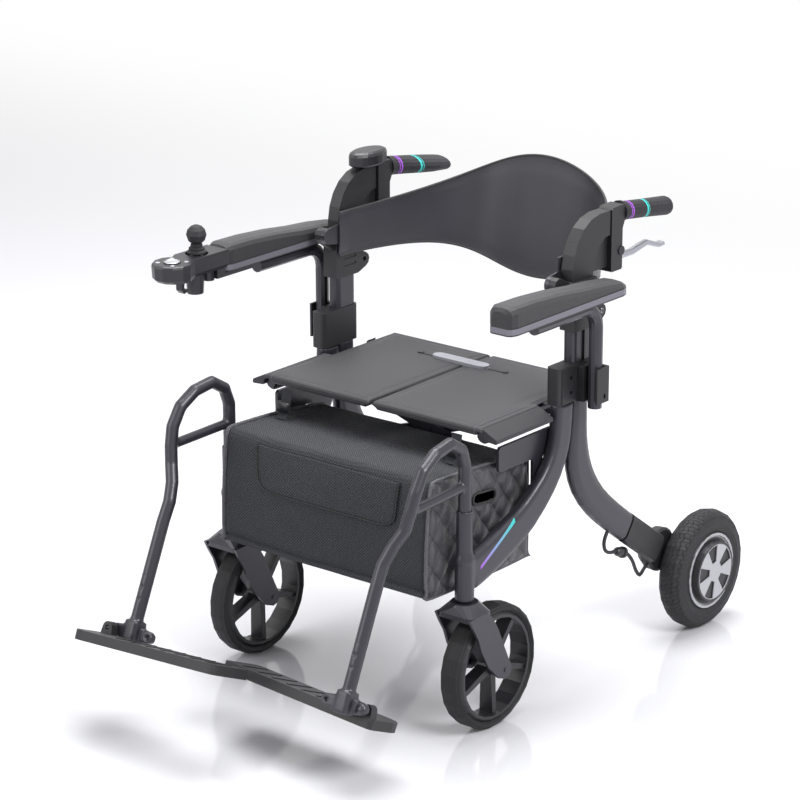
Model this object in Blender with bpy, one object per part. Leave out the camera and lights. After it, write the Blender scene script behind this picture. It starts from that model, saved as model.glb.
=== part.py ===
"""Electric rollator: a folding walking frame with a seat, a joystick armrest and two hub motors.

Stations run from the front caster hubs: X to the user's right hand seen from the front, Y to the back,
Z up from the floor. Everything hangs from one chassis empty, which centres the part on its origin.
"""
import math

import bmesh
import bpy
from mathutils import Matrix, Vector

# Driving dimensions, in metres
FIT = 0.0003               # gap between pieces that touch
RUN = 0.0006               # gap round a piece that turns or slides
CENTRE_Y = 0.11375         # middle of the part behind the caster hubs

WHEEL_R = 0.100            # all four wheels are 200 mm across
WHEELBASE = 0.542
CASTER_X = 0.236
CASTER_TRAIL = 0.059
CASTER_TYRE_W = 0.038
CASTER_TYRE_DEPTH = 0.0125
CASTER_SPOKES = 5
REAR_X = 0.260
REAR_TYRE_W = 0.046
REAR_TYRE_DEPTH = 0.034

LEG_X = 0.2365
LEG_T = 0.022              # thickness of the side frame's oval tubes, along X

SEAT_Z = 0.4735
SEAT_BASE_Z = 0.4595
SEAT_FRONT_Y = 0.005
SEAT_BACK_Y = 0.312
SEAM_GAP = 0.0066
SEAT_TUBE_X = 0.2115
SEAT_TUBE_Z = 0.4580
SEAT_TUBE_R = 0.0088

FOLD_X = 0.205             # lower pivots of the crossed braces
FOLD_Z = 0.323
FOLD_AXLE_R = 0.0080
BRACE_T = 0.0080
BRACE_W = 0.0170
BRACE_A_Y = 0.1505         # front faces of the two brace bars
BRACE_B_Y = 0.1625

HEAD_Y = -CASTER_TRAIL     # swivel axis of the casters
HEAD_R = 0.0150
HANGER_R = 0.0105
HANGER_LOW_X = 0.213
HANGER_TILT = math.radians(24.2)
PLATE_ANGLE = math.radians(3.0)
PLATE_T = 0.0155
PLATE_DEPTH = 0.085
PLATE_STANDOFF = 0.0165    # from the hanger tube's axis to the near edge of a plate

ARM_X = 0.275
ARM_TUBE_R = 0.0110
ARM_TUBE_Y = 0.2135
PAD_X = 0.2793
PAD_W = 0.0470
PAD_FRONT_Y = -0.034
PAD_BACK_Y = 0.262
PAD_BASE_Z = 0.641

HANDLE_X = 0.2325
GRIP_R = 0.0150
GRIP_FRONT = (0.340, 0.7455)
GRIP_BACK = (0.457, 0.7300)
LEVER_PIVOT = (0.318, 0.688)

DISC_Y = 0.167             # hinge discs of the backrest
DISC_Z = 0.663
DISC_R = 0.0125
DISC_PIN_R = 0.0040
BRACKET_IN_X = 0.2190      # inner face of the backrest's brackets
BRACKET_OUT_X = 0.2222
DISC_OUT_X = 0.2273

BAND_T = 0.0026            # backrest band
BAND_HALF = 0.2172
BAND_DEPTH = 0.220
BAND_RUN = 0.025           # straight stretch at each end, against the bracket
BAND_END_Y = 0.190

BAG_HALF = 0.2080          # outer faces of the bag's sides
BAG_SIDE_T = 0.0080
BAG_WALL = 0.0030

RIGHT, LEFT = 1, -1
SIDES = ((RIGHT, "right"), (LEFT, "left"))

for old in list(bpy.data.objects):
    bpy.data.objects.remove(old, do_unlink=True)

chassis = bpy.data.objects.new("chassis", None)
chassis.location = (0.0, -CENTRE_Y, 0.0)
bpy.context.scene.collection.objects.link(chassis)
PIVOTS = {"chassis": Vector((0.0, 0.0, 0.0))}


# Materials
def material(name, colour, roughness, metallic=0.0):
    """One Principled material, with its colour given as the eye sees it."""
    if name in bpy.data.materials:
        return bpy.data.materials[name]
    mat = bpy.data.materials.new(name)
    mat.use_nodes = True
    shader = mat.node_tree.nodes["Principled BSDF"]
    linear = [(c / 12.92 if c <= 0.04045 else ((c + 0.055) / 1.055) ** 2.4) for c in colour]
    shader.inputs["Base Color"].default_value = (*linear, 1.0)
    shader.inputs["Roughness"].default_value = roughness
    shader.inputs["Metallic"].default_value = metallic
    mat.diffuse_color = (*colour, 1.0)
    return mat


FRAME_PAINT = (0.33, 0.33, 0.37)
BLACK = (0.13, 0.13, 0.15)
SILVER = (0.70, 0.70, 0.74)


# Placing
def pivot(name, at):
    """An empty on a joint's axis, which the pieces that move about it hang from."""
    empty = bpy.data.objects.new("pivot_" + name, None)
    empty.empty_display_size = 0.03
    empty.parent = chassis
    empty.location = at
    bpy.context.scene.collection.objects.link(empty)
    PIVOTS[name] = Vector(at)
    return empty


def finish(name, bm, mat, on="chassis", smooth=38.0):
    """Turn a mesh built in chassis stations into an object that hangs from its pivot."""
    bmesh.ops.remove_doubles(bm, verts=bm.verts, dist=1e-6)
    bmesh.ops.recalc_face_normals(bm, faces=bm.faces)
    mesh = bpy.data.meshes.new(name)
    bm.to_mesh(mesh)
    bm.free()
    obj = bpy.data.objects.new(name, mesh)
    bpy.context.scene.collection.objects.link(obj)
    obj.parent = chassis if on == "chassis" else bpy.data.objects["pivot_" + on]
    obj.location = -PIVOTS[on]
    if mat is not None:
        mesh.materials.append(mat)
    mesh.shade_smooth()
    mesh.set_sharp_from_angle(angle=math.radians(smooth))
    return obj


def guide(name, bm):
    """A hidden solid that only cuts or joins another one."""
    obj = finish(name, bm, None)
    obj.hide_render = True
    obj.display_type = "WIRE"
    return obj


def frame_of(side):
    """The right side frame stands still; the left one moves when the part folds."""
    return "chassis" if side == RIGHT else "frame_left"


def span(side, a, b):
    """Low and high X of a slab given on the right side, for either side."""
    return min(side * a, side * b), max(side * a, side * b)


def combine(obj, tool, operation):
    step = obj.modifiers.new(operation.lower(), "BOOLEAN")
    step.operation = operation
    step.solver = "EXACT"
    step.object = tool
    return step


def cut(obj, *tools):
    for index, bm in enumerate(tools):
        combine(obj, guide(f"{obj.name}.cutter.{len(obj.modifiers)}.{index}", bm), "DIFFERENCE")


def add(obj, *tools):
    for index, bm in enumerate(tools):
        combine(obj, guide(f"{obj.name}.joined.{len(obj.modifiers)}.{index}", bm), "UNION")


# Sections, as closed lists of points
def round_section(radius, count=14):
    return [(radius * math.cos(2 * math.pi * i / count), radius * math.sin(2 * math.pi * i / count))
            for i in range(count)]


def box_section(width, height, radius, steps=3):
    """A rectangle with round corners, counted from its middle."""
    points = []
    radius = min(radius, width / 2 - 1e-4, height / 2 - 1e-4)
    for quarter, (sx, sy) in enumerate(((1, 1), (-1, 1), (-1, -1), (1, -1))):
        cx, cy = sx * (width / 2 - radius), sy * (height / 2 - radius)
        for i in range(steps + 1):
            angle = math.pi / 2 * (quarter + i / steps)
            points.append((cx + radius * math.cos(angle), cy + radius * math.sin(angle)))
    return points


def arc(centre, radius, start, end, steps):
    """Points along a circular arc, angles in degrees."""
    cy, cz = centre
    return [(cy + radius * math.cos(math.radians(start + (end - start) * i / steps)),
             cz + radius * math.sin(math.radians(start + (end - start) * i / steps)))
            for i in range(steps + 1)]


def curve_through(points, per_span=4):
    """A smooth path through hand-chosen points, with equal steps in each span."""
    pts = [Vector(p) for p in points]
    pts = [2 * pts[0] - pts[1]] + pts + [2 * pts[-1] - pts[-2]]
    path = []
    for a, b, c, d in zip(pts, pts[1:], pts[2:], pts[3:]):
        for i in range(per_span):
            t = i / per_span
            path.append(0.5 * ((2 * b) + (c - a) * t + (2 * a - 5 * b + 4 * c - d) * t * t
                               + (3 * b - a - 3 * c + d) * t ** 3))
    path.append(pts[-2])
    return path


def rounded_path(corners, radius, steps=5):
    """Straight runs joined by bends of one radius."""
    pts = [Vector(p) for p in corners]
    path = [pts[0]]
    for before, corner, after in zip(pts, pts[1:], pts[2:]):
        u, v = (before - corner).normalized(), (after - corner).normalized()
        half = u.angle(v) / 2
        reach = min(radius / math.tan(half), (before - corner).length * 0.49,
                    (after - corner).length * 0.49)
        bend = reach * math.tan(half)
        centre = corner + (u + v).normalized() * (bend / math.sin(half))
        start, end = corner + u * reach - centre, corner + v * reach - centre
        turn = start.angle(end)
        axis = start.cross(end).normalized()
        path += [centre + Matrix.Rotation(turn * i / steps, 3, axis) @ start for i in range(steps + 1)]
    path.append(pts[-1])
    return path


# Solids
def loft(bm, rings):
    """Skin closed rings of equal count, and close both ends."""
    rows = [[bm.verts.new(p) for p in ring] for ring in rings]
    count = len(rows[0])
    for low, high in zip(rows, rows[1:]):
        for i in range(count):
            bm.faces.new((low[i], low[(i + 1) % count], high[(i + 1) % count], high[i]))
    bm.faces.new(rows[0])
    bm.faces.new(rows[-1])
    return bm


def sweep(section, path, up=(1, 0, 0), scale=None):
    """A section carried along a path; its first axis stays as near to `up` as the path lets it."""
    pts = [Vector(p) for p in path]
    rings = []
    for i, p in enumerate(pts):
        ahead = (pts[min(i + 1, len(pts) - 1)] - p)
        behind = (p - pts[max(i - 1, 0)])
        run = ((ahead.normalized() if ahead.length else behind.normalized())
               + (behind.normalized() if behind.length else ahead.normalized())).normalized()
        first = Vector(up)
        first = (first - run * first.dot(run)).normalized()
        second = run.cross(first)
        k = scale(i / (len(pts) - 1)) if scale else (1.0, 1.0)
        rings.append([p + first * (a * k[0]) + second * (b * k[1]) for a, b in section])
    return loft(bmesh.new(), rings)


def prism(outline, low, high, axis="X"):
    """An outline pushed along an axis; outlines are (y, z), (x, z) or (x, y) for X, Y and Z."""
    def point(p, h):
        if axis == "X":
            return (h, p[0], p[1])
        if axis == "Y":
            return (p[0], h, p[1])
        return (p[0], p[1], h)
    return loft(bmesh.new(), [[point(p, low) for p in outline], [point(p, high) for p in outline]])


def block(low, high):
    x0, y0, z0 = low
    x1, y1, z1 = high
    return prism([(y0, z0), (y1, z0), (y1, z1), (y0, z1)], x0, x1)


def rod(start, end, radius, count=14, end_radius=None):
    """A round bar, or a cone when the end has its own radius."""
    start, end = Vector(start), Vector(end)
    run = (end - start).normalized()
    first = run.orthogonal().normalized()
    second = run.cross(first)
    rings = []
    for p, r in ((start, radius), (end, radius if end_radius is None else end_radius)):
        rings.append([p + first * a * r + second * b * r for a, b in round_section(1.0, count)])
    return loft(bmesh.new(), rings)


def turned(profile, centre, axis="X", count=36, ring=False):
    """Spin a profile of (radius, height) about an axis; `ring` closes the profile on itself."""
    bm = bmesh.new()
    cx, cy, cz = centre

    def point(r, h, angle):
        a, b = r * math.cos(angle), r * math.sin(angle)
        if axis == "X":
            return (cx + h, cy + a, cz + b)
        if axis == "Y":
            return (cx + a, cy + h, cz + b)
        return (cx + a, cy + b, cz + h)

    columns = []
    for i in range(count):
        angle = 2 * math.pi * (i + 0.5) / count
        columns.append([bm.verts.new(point(max(r, 0.0), h, angle)) for r, h in profile])
    pairs = list(zip(range(len(profile)), range(1, len(profile))))
    if ring:
        pairs.append((len(profile) - 1, 0))
    for i in range(count):
        here, there = columns[i], columns[(i + 1) % count]
        for a, b in pairs:
            bm.faces.new((here[a], here[b], there[b], there[a]))
    if not ring:
        bm.faces.new([column[0] for column in columns])
        bm.faces.new([column[-1] for column in columns])
    return bm


def hull_outline(circles, steps=5):
    """The outline round two circles (y, z, radius), such as a link plate."""
    (y0, z0, r0), (y1, z1, r1) = circles
    span = math.hypot(y1 - y0, z1 - z0)
    lean = math.atan2(z1 - z0, y1 - y0)
    side = math.acos((r0 - r1) / span)
    first = [lean + side + (2 * math.pi - 2 * side) * i / steps for i in range(steps + 1)]
    second = [lean - side + 2 * side * i / steps for i in range(steps + 1)]
    return ([(y0 + r0 * math.cos(a), z0 + r0 * math.sin(a)) for a in first]
            + [(y1 + r1 * math.cos(a), z1 + r1 * math.sin(a)) for a in second])


def move(bm, matrix):
    bmesh.ops.transform(bm, matrix=matrix, verts=bm.verts)
    return bm


def gathered(parts):
    """Several solids that don't touch, as one mesh."""
    whole = bmesh.new()
    for part in parts:
        mesh = bpy.data.meshes.new("part")
        part.to_mesh(mesh)
        part.free()
        whole.from_mesh(mesh)
        bpy.data.meshes.remove(mesh)
    return whole


# Wheels
WHEEL_SEGMENTS = 24
AXLE_Z = WHEEL_R * math.cos(math.pi / WHEEL_SEGMENTS)
CASTER_AXLE_R = 0.0040
FORK_IN = 0.0297           # inner and outer faces of the fork blades, from the wheel's middle
FORK_OUT = 0.0345
MOTOR_AXLE_R = 0.0060


def mirrored(points, side):
    return [(r, h * side) for r, h in points]


def caster_tyre(side, name):
    inner = WHEEL_R - CASTER_TYRE_DEPTH
    half = CASTER_TYRE_W / 2
    profile = [(inner, -0.78 * half), (inner + 0.005, -half), (WHEEL_R - 0.0020, -0.76 * half),
               (WHEEL_R, -0.30 * half),
               (WHEEL_R, 0.30 * half), (WHEEL_R - 0.0020, 0.76 * half), (inner + 0.005, half),
               (inner, 0.78 * half)]
    bm = turned(profile, (side * CASTER_X, 0.0, AXLE_Z), count=WHEEL_SEGMENTS, ring=True)
    finish(f"caster_tyre_{name}", bm, material("caster_rubber", (0.10, 0.10, 0.11), 0.6),
           f"caster_spin_{name}")


def caster_rim(side, name):
    """Deep rim on five flat spokes round a hub that spaces the fork blades."""
    centre = Vector((side * CASTER_X, 0.0, AXLE_Z))
    outer = WHEEL_R - CASTER_TYRE_DEPTH - FIT
    barrel = [(outer, -0.0140), (outer, 0.0140), (outer - 0.0040, 0.0175), (outer - 0.0085, 0.0170),
              (outer - 0.0085, -0.0170), (outer - 0.0040, -0.0175)]
    rim = finish(f"caster_rim_{name}", turned(barrel, centre, count=WHEEL_SEGMENTS, ring=True),
                 material("rim", BLACK, 0.45), f"caster_spin_{name}")
    half = FORK_IN - 0.0010
    hub = turned([(0.0085, -half), (0.0140, -0.012), (0.0140, 0.012), (0.0085, half),
                  (CASTER_AXLE_R + FIT, half), (CASTER_AXLE_R + FIT, -half)], centre, count=14, ring=True)
    spokes = []
    for i in range(CASTER_SPOKES):
        turn = Matrix.Rotation(2 * math.pi * i / CASTER_SPOKES, 3, "X")
        rings = []
        for reach, wide, deep in ((0.0115, 0.0120, 0.0200), (outer - 0.0088, 0.0080, 0.0260)):
            rings.append([centre + turn @ Vector((x, y, -reach))
                          for x, y in ((deep / 2, wide / 2), (-deep / 2, wide / 2), (-deep / 2, -wide / 2),
                                       (deep / 2, -wide / 2))])
        spokes.append(loft(bmesh.new(), rings))
    add(rim, hub, gathered(spokes))


def fork(side, name):
    """Crown, stem, two trailing blades and the axle of a caster."""
    x = side * CASTER_X
    crown_z = HEAD_BASE_Z - RUN
    front = [(-0.0800, 0.1900), (-0.0680, 0.1700), (-0.0590, 0.1460), (-0.0440, 0.1190), (-0.0165, 0.0905)]
    end = [(y, z + AXLE_Z - 0.1) for y, z in arc((0.0, 0.1), 0.0145, -130, 15, 4)]
    back = [(0.0050, 0.1200), (-0.0080, 0.1480), (-0.0200, 0.1740), (-0.0330, 0.1950), (-0.0450, 0.2060)]
    outline = [(-0.0880, 0.2060)] + front + end + back
    crown = loft(bmesh.new(), [
        [(x + a, -CASTER_TRAIL + b, z) for a, b in box_section(w, d, r, 3)]
        for w, d, r, z in ((2 * FORK_OUT, 0.052, 0.010, 0.1985), (2 * FORK_OUT, 0.054, 0.012, 0.2065),
                           (0.050, 0.048, 0.022, crown_z - 0.004), (0.043, 0.043, 0.0214, crown_z))])
    body = finish(f"fork_{name}", crown, material("fork", FRAME_PAINT, 0.45), f"caster_swivel_{name}")
    for inner, outer in ((FORK_IN, FORK_OUT), (-FORK_OUT, -FORK_IN)):
        add(body, prism(outline, x + inner, x + outer))
    add(body, rod((x - FORK_OUT - 0.0012, 0.0, AXLE_Z), (x + FORK_OUT + 0.0012, 0.0, AXLE_Z),
                  CASTER_AXLE_R, 12),
        rod((x, -CASTER_TRAIL, 0.205), (x, -CASTER_TRAIL, HEAD_STEM_Z), STEM_R, 10))


def rear_tyre(side, name):
    inner = WHEEL_R - REAR_TYRE_DEPTH
    half = REAR_TYRE_W / 2
    profile = [(inner, -0.86 * half), (inner + 0.012, -half), (inner + 0.026, -0.84 * half),
               (WHEEL_R - 0.0020, -0.52 * half), (WHEEL_R, -0.15 * half), (WHEEL_R, 0.15 * half),
               (WHEEL_R - 0.0020, 0.52 * half), (inner + 0.026, 0.84 * half), (inner + 0.012, half),
               (inner, 0.86 * half)]
    bm = turned(profile, (side * REAR_X, WHEELBASE, AXLE_Z), count=WHEEL_SEGMENTS, ring=True)
    finish(f"rear_tyre_{name}", bm, material("tyre_rubber", (0.09, 0.09, 0.10), 0.75), f"rear_spin_{name}")


def rear_hub(side, name):
    """Motor shell with a raised cover that has five pockets, turning on a fixed axle."""
    centre = (side * REAR_X, WHEELBASE, AXLE_Z)
    rim = WHEEL_R - REAR_TYRE_DEPTH - FIT
    profile = [(rim - 0.010, -0.0200), (rim, -0.0160), (rim, 0.0190), (rim - 0.0022, 0.0225),
               (rim - 0.0060, 0.0220),
               (rim - 0.0070, 0.0190), (rim - 0.0120, 0.0200), (rim - 0.0145, 0.0300)]
    hub = finish(f"rear_hub_{name}", turned(mirrored(profile, side), centre, count=WHEEL_SEGMENTS),
                 material("hub", (0.30, 0.30, 0.33), 0.4, 0.6), f"rear_spin_{name}")
    pockets = []
    for i in range(5):
        turn = Matrix.Rotation(2 * math.pi * i / 5 + math.radians(12), 3, "X")
        outline = [(-0.0055, 0.0165), (0.0055, 0.0165), (0.0135, 0.0440), (0.0, 0.0462), (-0.0135, 0.0440)]
        rings = [[Vector(centre) + turn @ Vector((side * h, a, b)) for a, b in outline] for h in (0.0275,
                                                                                                  0.0320)]
        pockets.append(loft(bmesh.new(), rings))
    bore = rod((centre[0] - side * 0.024, *centre[1:]), (centre[0] + side * 0.012, *centre[1:]),
               MOTOR_AXLE_R + FIT, 12)
    cut(hub, gathered(pockets), bore)


# Side frames
HEAD_BASE_Z = 0.2225
HEAD_TOP_Z = 0.2975
SOCKET_TOP_Z = 0.3680
SOCKET_FLOOR_Z = 0.3050
SOCKET_R = HANGER_R + FIT + 0.0020
HEAD_STEM_Z = 0.2820
STEM_R = 0.0070
LEG_TOP_Z = 0.4755
CABLE_R = 0.0030
CABLE_EXIT = (0.3085, 0.2263)            # (y, z) under the rear tube
CABLE_WAY_OUT = (-0.651, -0.759)
# Centre line and width of the oval tubes: (y, z, width)
FRONT_LEG = ((-0.0480, 0.2645, 0.0580), (-0.0080, 0.2750, 0.0580), (0.0500, 0.2975, 0.0565),
             (0.0915, 0.3170, 0.0530), (0.1390, 0.3545, 0.0470), (0.1650, 0.3900, 0.0430),
             (0.1765, 0.4250, 0.0410), (0.1806, LEG_TOP_Z - 0.0018, 0.0405))
REAR_LEG = ((0.2205, LEG_TOP_Z, 0.0375), (0.2200, 0.4400, 0.0400), (0.2190, 0.4050, 0.0460),
            (0.2235, 0.3660, 0.0540), (0.2390, 0.3280, 0.0560), (0.2700, 0.2890, 0.0530),
            (0.3120, 0.2530, 0.0505), (0.3560, 0.2200, 0.0490))
SLEEVE_END = (0.4430, 0.1577)
CUP_CENTRE = (0.4650, 0.1480)
CUP_R = 0.0370
RAIL_X = LEG_X - LEG_T / 2 - FIT      # outer face of the flat rail against the legs
RAIL_T = 0.0050
STRUT_Y = 0.1360                      # strut from the rail down to the brace's axle
BOSS_T = 0.0095


def tapered_tube(stations, x, grow=0.0):
    """An oval tube in the plane of the side frame, whose width follows its stations."""
    path = curve_through([(x, y, z) for y, z, _ in stations], 2)
    widths = [v.x for v in curve_through([(w, 0.0, 0.0) for _, _, w in stations], 2)]
    base = widths[0]
    last = len(path) - 1
    section = box_section(LEG_T + 2 * grow, base, 0.0095, 2)
    return sweep(section, path, (1, 0, 0), lambda t: (1.0, (widths[round(t * last)] + 2 * grow) / base))


def front_leg(side, name):
    """Front tube, with the caster's head tube and the sleeve that the hanger plugs into welded to its end."""
    x = side * LEG_X
    leg = finish(f"front_leg_{name}", tapered_tube(FRONT_LEG, x), material("frame_paint", FRAME_PAINT,
                                                                           0.35, 0.6),
                 frame_of(side))
    profile = [(HEAD_R - 0.001, HEAD_BASE_Z), (HEAD_R, HEAD_BASE_Z + 0.001), (HEAD_R, 0.2840),
               (HEAD_R + 0.0010, 0.2860), (HEAD_R + 0.0010, 0.2900), (SOCKET_R + 0.0010, HEAD_TOP_Z),
               (SOCKET_R, HEAD_TOP_Z + 0.0002), (SOCKET_R, SOCKET_TOP_Z - 0.001),
               (SOCKET_R - 0.0006, SOCKET_TOP_Z)]
    head_x = side * CASTER_X
    add(leg, turned(profile, (head_x, HEAD_Y, 0.0), "Z", 16))
    cut(leg, tapered_tube(REAR_LEG, x, FIT),
        rod((head_x, HEAD_Y, HEAD_BASE_Z - 0.01), (head_x, HEAD_Y, HEAD_STEM_Z + 0.002), STEM_R + RUN, 12),
        rod((head_x, HEAD_Y, SOCKET_FLOOR_Z), (head_x, HEAD_Y, SOCKET_TOP_Z + 0.01), HANGER_R + FIT, 14))


def rear_leg(side, name):
    """Rear tube, bored underneath where the motor's cable comes out."""
    x = side * LEG_X
    leg = finish(f"rear_leg_{name}", tapered_tube(REAR_LEG, x), material("frame_paint", FRAME_PAINT, 0.35,
                                                                         0.6),
                 frame_of(side))
    inside = Vector(CABLE_EXIT) - Vector(CABLE_WAY_OUT) * 0.008
    outside = Vector(CABLE_EXIT) + Vector(CABLE_WAY_OUT) * 0.008
    cut(leg, rod((x, *inside), (x, *outside), CABLE_R + FIT, 12))


def side_rail(side, name):
    """Flat rail under the seat with a strut down to the axle that the brace turns on."""
    outer = side * RAIL_X
    inner = side * (RAIL_X - RAIL_T)
    outline = [(0.0420, 0.4360), (0.0380, 0.4320), (0.0380, 0.4000), (0.0420, 0.3960),
               (STRUT_Y - 0.0160, 0.3960),
               (STRUT_Y - 0.0120, 0.3920)]
    outline += arc((STRUT_Y, FOLD_Z - 0.0020), 0.0120, 180, 360, 6)
    outline += [(STRUT_Y + 0.0120, 0.3920), (STRUT_Y + 0.0160, 0.3960), (0.1920, 0.3960), (0.1960, 0.4000),
                (0.1960, 0.4320), (0.1920, 0.4360)]
    rail = finish(f"side_rail_{name}", prism(outline, min(inner, outer), max(inner, outer)),
                  material("rail", (0.42, 0.42, 0.46), 0.35, 0.8), frame_of(side))
    block_x = span(side, FOLD_X - 0.0105, RAIL_X - RAIL_T + 0.001)
    boss = block((block_x[0], STRUT_Y + 0.0120 - BOSS_T, FOLD_Z - 0.0105),
                 (block_x[1], STRUT_Y + 0.0120, FOLD_Z + 0.0105))
    x = side * FOLD_X
    add(rail, boss, rod((x, STRUT_Y + 0.0060, FOLD_Z), (x, 0.1900, FOLD_Z), FOLD_AXLE_R, 12),
        rod((x, 0.1810, FOLD_Z), (x, 0.1870, FOLD_Z), FOLD_AXLE_R + 0.0045, 12))


def motor_arm(side, name):
    """Sleeve below the rear leg, the round cup at its end and the plate that holds the motor's axle."""
    x = side * LEG_X
    start = Vector((x, *REAR_LEG[-1][:2]))
    end = Vector((x, *SLEEVE_END))
    run = (end - start).normalized()
    width = REAR_LEG[-1][2]
    path = [start + run * 0.0012, start + run * 0.03, end]
    arm = finish(f"motor_arm_{name}", sweep(box_section(LEG_T, width, 0.0095, 2), path),
                 material("moulding", BLACK, 0.5), frame_of(side))
    face = REAR_X - REAR_TYRE_W / 2 - 0.0015
    cup = turned(mirrored([(CUP_R - 0.004, 0.0), (CUP_R, -0.003), (CUP_R - 0.001, -0.018),
                           (CUP_R - 0.009, -0.030), (CUP_R - 0.022, -0.036)], side),
                 (side * face, *CUP_CENTRE), count=20)
    plate = prism(hull_outline(((*CUP_CENTRE, 0.026), (WHEELBASE, AXLE_Z, 0.022)), 5),
                  min(side * (face - 0.0120), side * (face - 0.0020)),
                  max(side * (face - 0.0120), side * (face - 0.0020)))
    axle = rod((side * (face - 0.0150), WHEELBASE, AXLE_Z), (side * (REAR_X + 0.0110), WHEELBASE, AXLE_Z),
               MOTOR_AXLE_R, 10)
    nut = rod((side * (face - 0.0190), WHEELBASE, AXLE_Z), (side * (face - 0.0110), WHEELBASE, AXLE_Z),
              0.0105, 6)
    add(arm, cup, plate, axle, nut)


# Hangers and footplates
FOOT = (HANGER_LOW_X + 0.001, -0.3150, 0.1240)
BRACKET_V = 0.0145
LOBE_U = 0.0280
LOBE_W = 0.0100
LOBE_R = 0.0095
HINGE_PIN_R = 0.0036


def foot_frame(side):
    """Local axes at a hanger's foot: u outwards, v away from the tube on the plate's side, w up the tube.

    The left foot is the right one turned half round, so its plate lies in front of the tube.
    """
    c, s = math.cos(HANGER_TILT), math.sin(HANGER_TILT)
    u = Vector((side, 0.0, 0.0))
    v = Vector((0.0, side * c, -side * s))
    w = Vector((0.0, s, c))
    frame = Matrix((u, v, w)).transposed().to_4x4()
    frame.translation = Vector((side * FOOT[0], FOOT[1], FOOT[2]))
    return frame


def hanger(side, name):
    """Bent tube that plugs into the head socket and carries the footplate's bracket."""
    s = side
    top = [(0.2360, HEAD_Y, 0.3060), (0.2360, HEAD_Y, 0.3700), (0.2360, HEAD_Y, 0.4380),
           (0.2365, -0.0690, 0.4650), (0.2375, -0.0960, 0.4815), (0.2395, -0.1330, 0.4760),
           (0.2410, -0.1640, 0.4580), (0.2415, -0.1820, 0.4300), (0.2385, -0.1900, 0.4020),
           (0.2330, -0.1960, 0.3740), (0.2210, -0.2080, 0.3500), (0.2135, -0.2230, 0.3240)]
    foot = Vector(FOOT)
    up = Vector((0.0, math.sin(HANGER_TILT), math.cos(HANGER_TILT)))
    low = [foot + up * d for d in (0.190, 0.130, 0.060, 0.0)]
    path = curve_through([(s * x, y, z) for x, y, z in top + [tuple(p) for p in low]], 1)
    tube = finish(f"hanger_{name}", sweep(round_section(HANGER_R, 12), path),
                  material("frame_paint", FRAME_PAINT, 0.35, 0.6), f"hanger_{name}")
    bar = rod((s * 0.2360, HEAD_Y, 0.4055), (s * 0.2390, -0.1890, 0.4020), 0.0080, 10)
    here = foot_frame(side)
    collar = move(prism([(y, z) for y, z in box_section(0.0270, 2 * BRACKET_V, 0.006, 2)], -0.0040,
                        0.0300, "Z"), here)

    def lobe(u, low_v, high_v):
        outline = hull_outline(((0.0, 0.0100, 0.0130), (u, LOBE_W, LOBE_R)), 4)
        return move(prism(outline, low_v, high_v, "Y"), here)

    def along_v(u, low_v, high_v, radius, count=8):
        return move(rod((u, low_v, LOBE_W), (u, high_v, LOBE_W), radius, count), here)

    add(tube, bar, collar, lobe(LOBE_U, 0.0012, BRACKET_V - 0.0009), lobe(-LOBE_U, 0.0011 - BRACKET_V,
                                                                          -0.0013),
        along_v(LOBE_U, -0.0010, PLATE_STANDOFF + 0.0150, HINGE_PIN_R),
        along_v(LOBE_U, -0.0020, 0.0020, HINGE_PIN_R + 0.0020))
    cut(tube, along_v(-LOBE_U, -BRACKET_V - 0.005, 0.0007, HINGE_PIN_R))
    holes = [0.0640, 0.0830, 0.1020]
    cut(tube, *[move(rod((0.0, -side * 0.02, d), (0.0, 0.0, d), 0.0028, 6), here) for d in holes])


def footplate(side, name):
    """Flat moulding that flips up about a pin beside the hanger tube."""
    outer, inner = 0.0420, -0.2530
    near, far = PLATE_STANDOFF, PLATE_STANDOFF + PLATE_DEPTH
    outline = [(inner, near + 0.004), (inner + 0.004, near)]
    outline += [(outer - 0.006, near), (outer, near + 0.006)]
    outline += [(outer - 0.030 + 0.030 * math.cos(math.radians(a)),
                 far - 0.030 + 0.030 * math.sin(math.radians(a)))
                for a in (0, 30, 60, 90)]
    outline += [(inner + 0.012 + 0.012 * math.cos(math.radians(a)),
                 far - 0.012 + 0.012 * math.sin(math.radians(a)))
                for a in (90, 120, 150, 180)]
    tilt = Matrix.Translation((LOBE_U, 0.0, LOBE_W)) @ Matrix.Rotation(PLATE_ANGLE, 4,
                                                                       "Y") @ Matrix.Translation(
        (-LOBE_U, 0.0, -LOBE_W))
    here = foot_frame(side) @ tilt
    plate = finish(f"footplate_{name}", move(prism(outline, -PLATE_T, 0.0, "Z"), here),
                   material("footplate", BLACK, 0.6), f"footplate_{name}")
    lug = prism([(LOBE_U - 0.0120, -0.004), (LOBE_U - LOBE_R, LOBE_W)]
                + [(LOBE_U + LOBE_R * math.cos(math.radians(a)),
                    LOBE_W + LOBE_R * math.sin(math.radians(a)))
                   for a in (150, 120, 90, 60, 30, 0)] + [(LOBE_U + 0.0120, -0.004)],
                near, near + 0.0140, "Y")
    add(plate, move(lug, here))
    ribs = [move(block((u - 0.0020, near + 0.012, -0.0009), (u + 0.0020, far - 0.014, 0.0012)), here)
            for u in (-0.225, -0.195, -0.165, -0.135, -0.105, -0.075, -0.045)]
    add(plate, gathered(ribs))
    cut(plate, move(rod((LOBE_U, near - 0.01, LOBE_W), (LOBE_U, near + 0.0155, LOBE_W), HINGE_PIN_R + FIT,
                        12), here))


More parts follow.
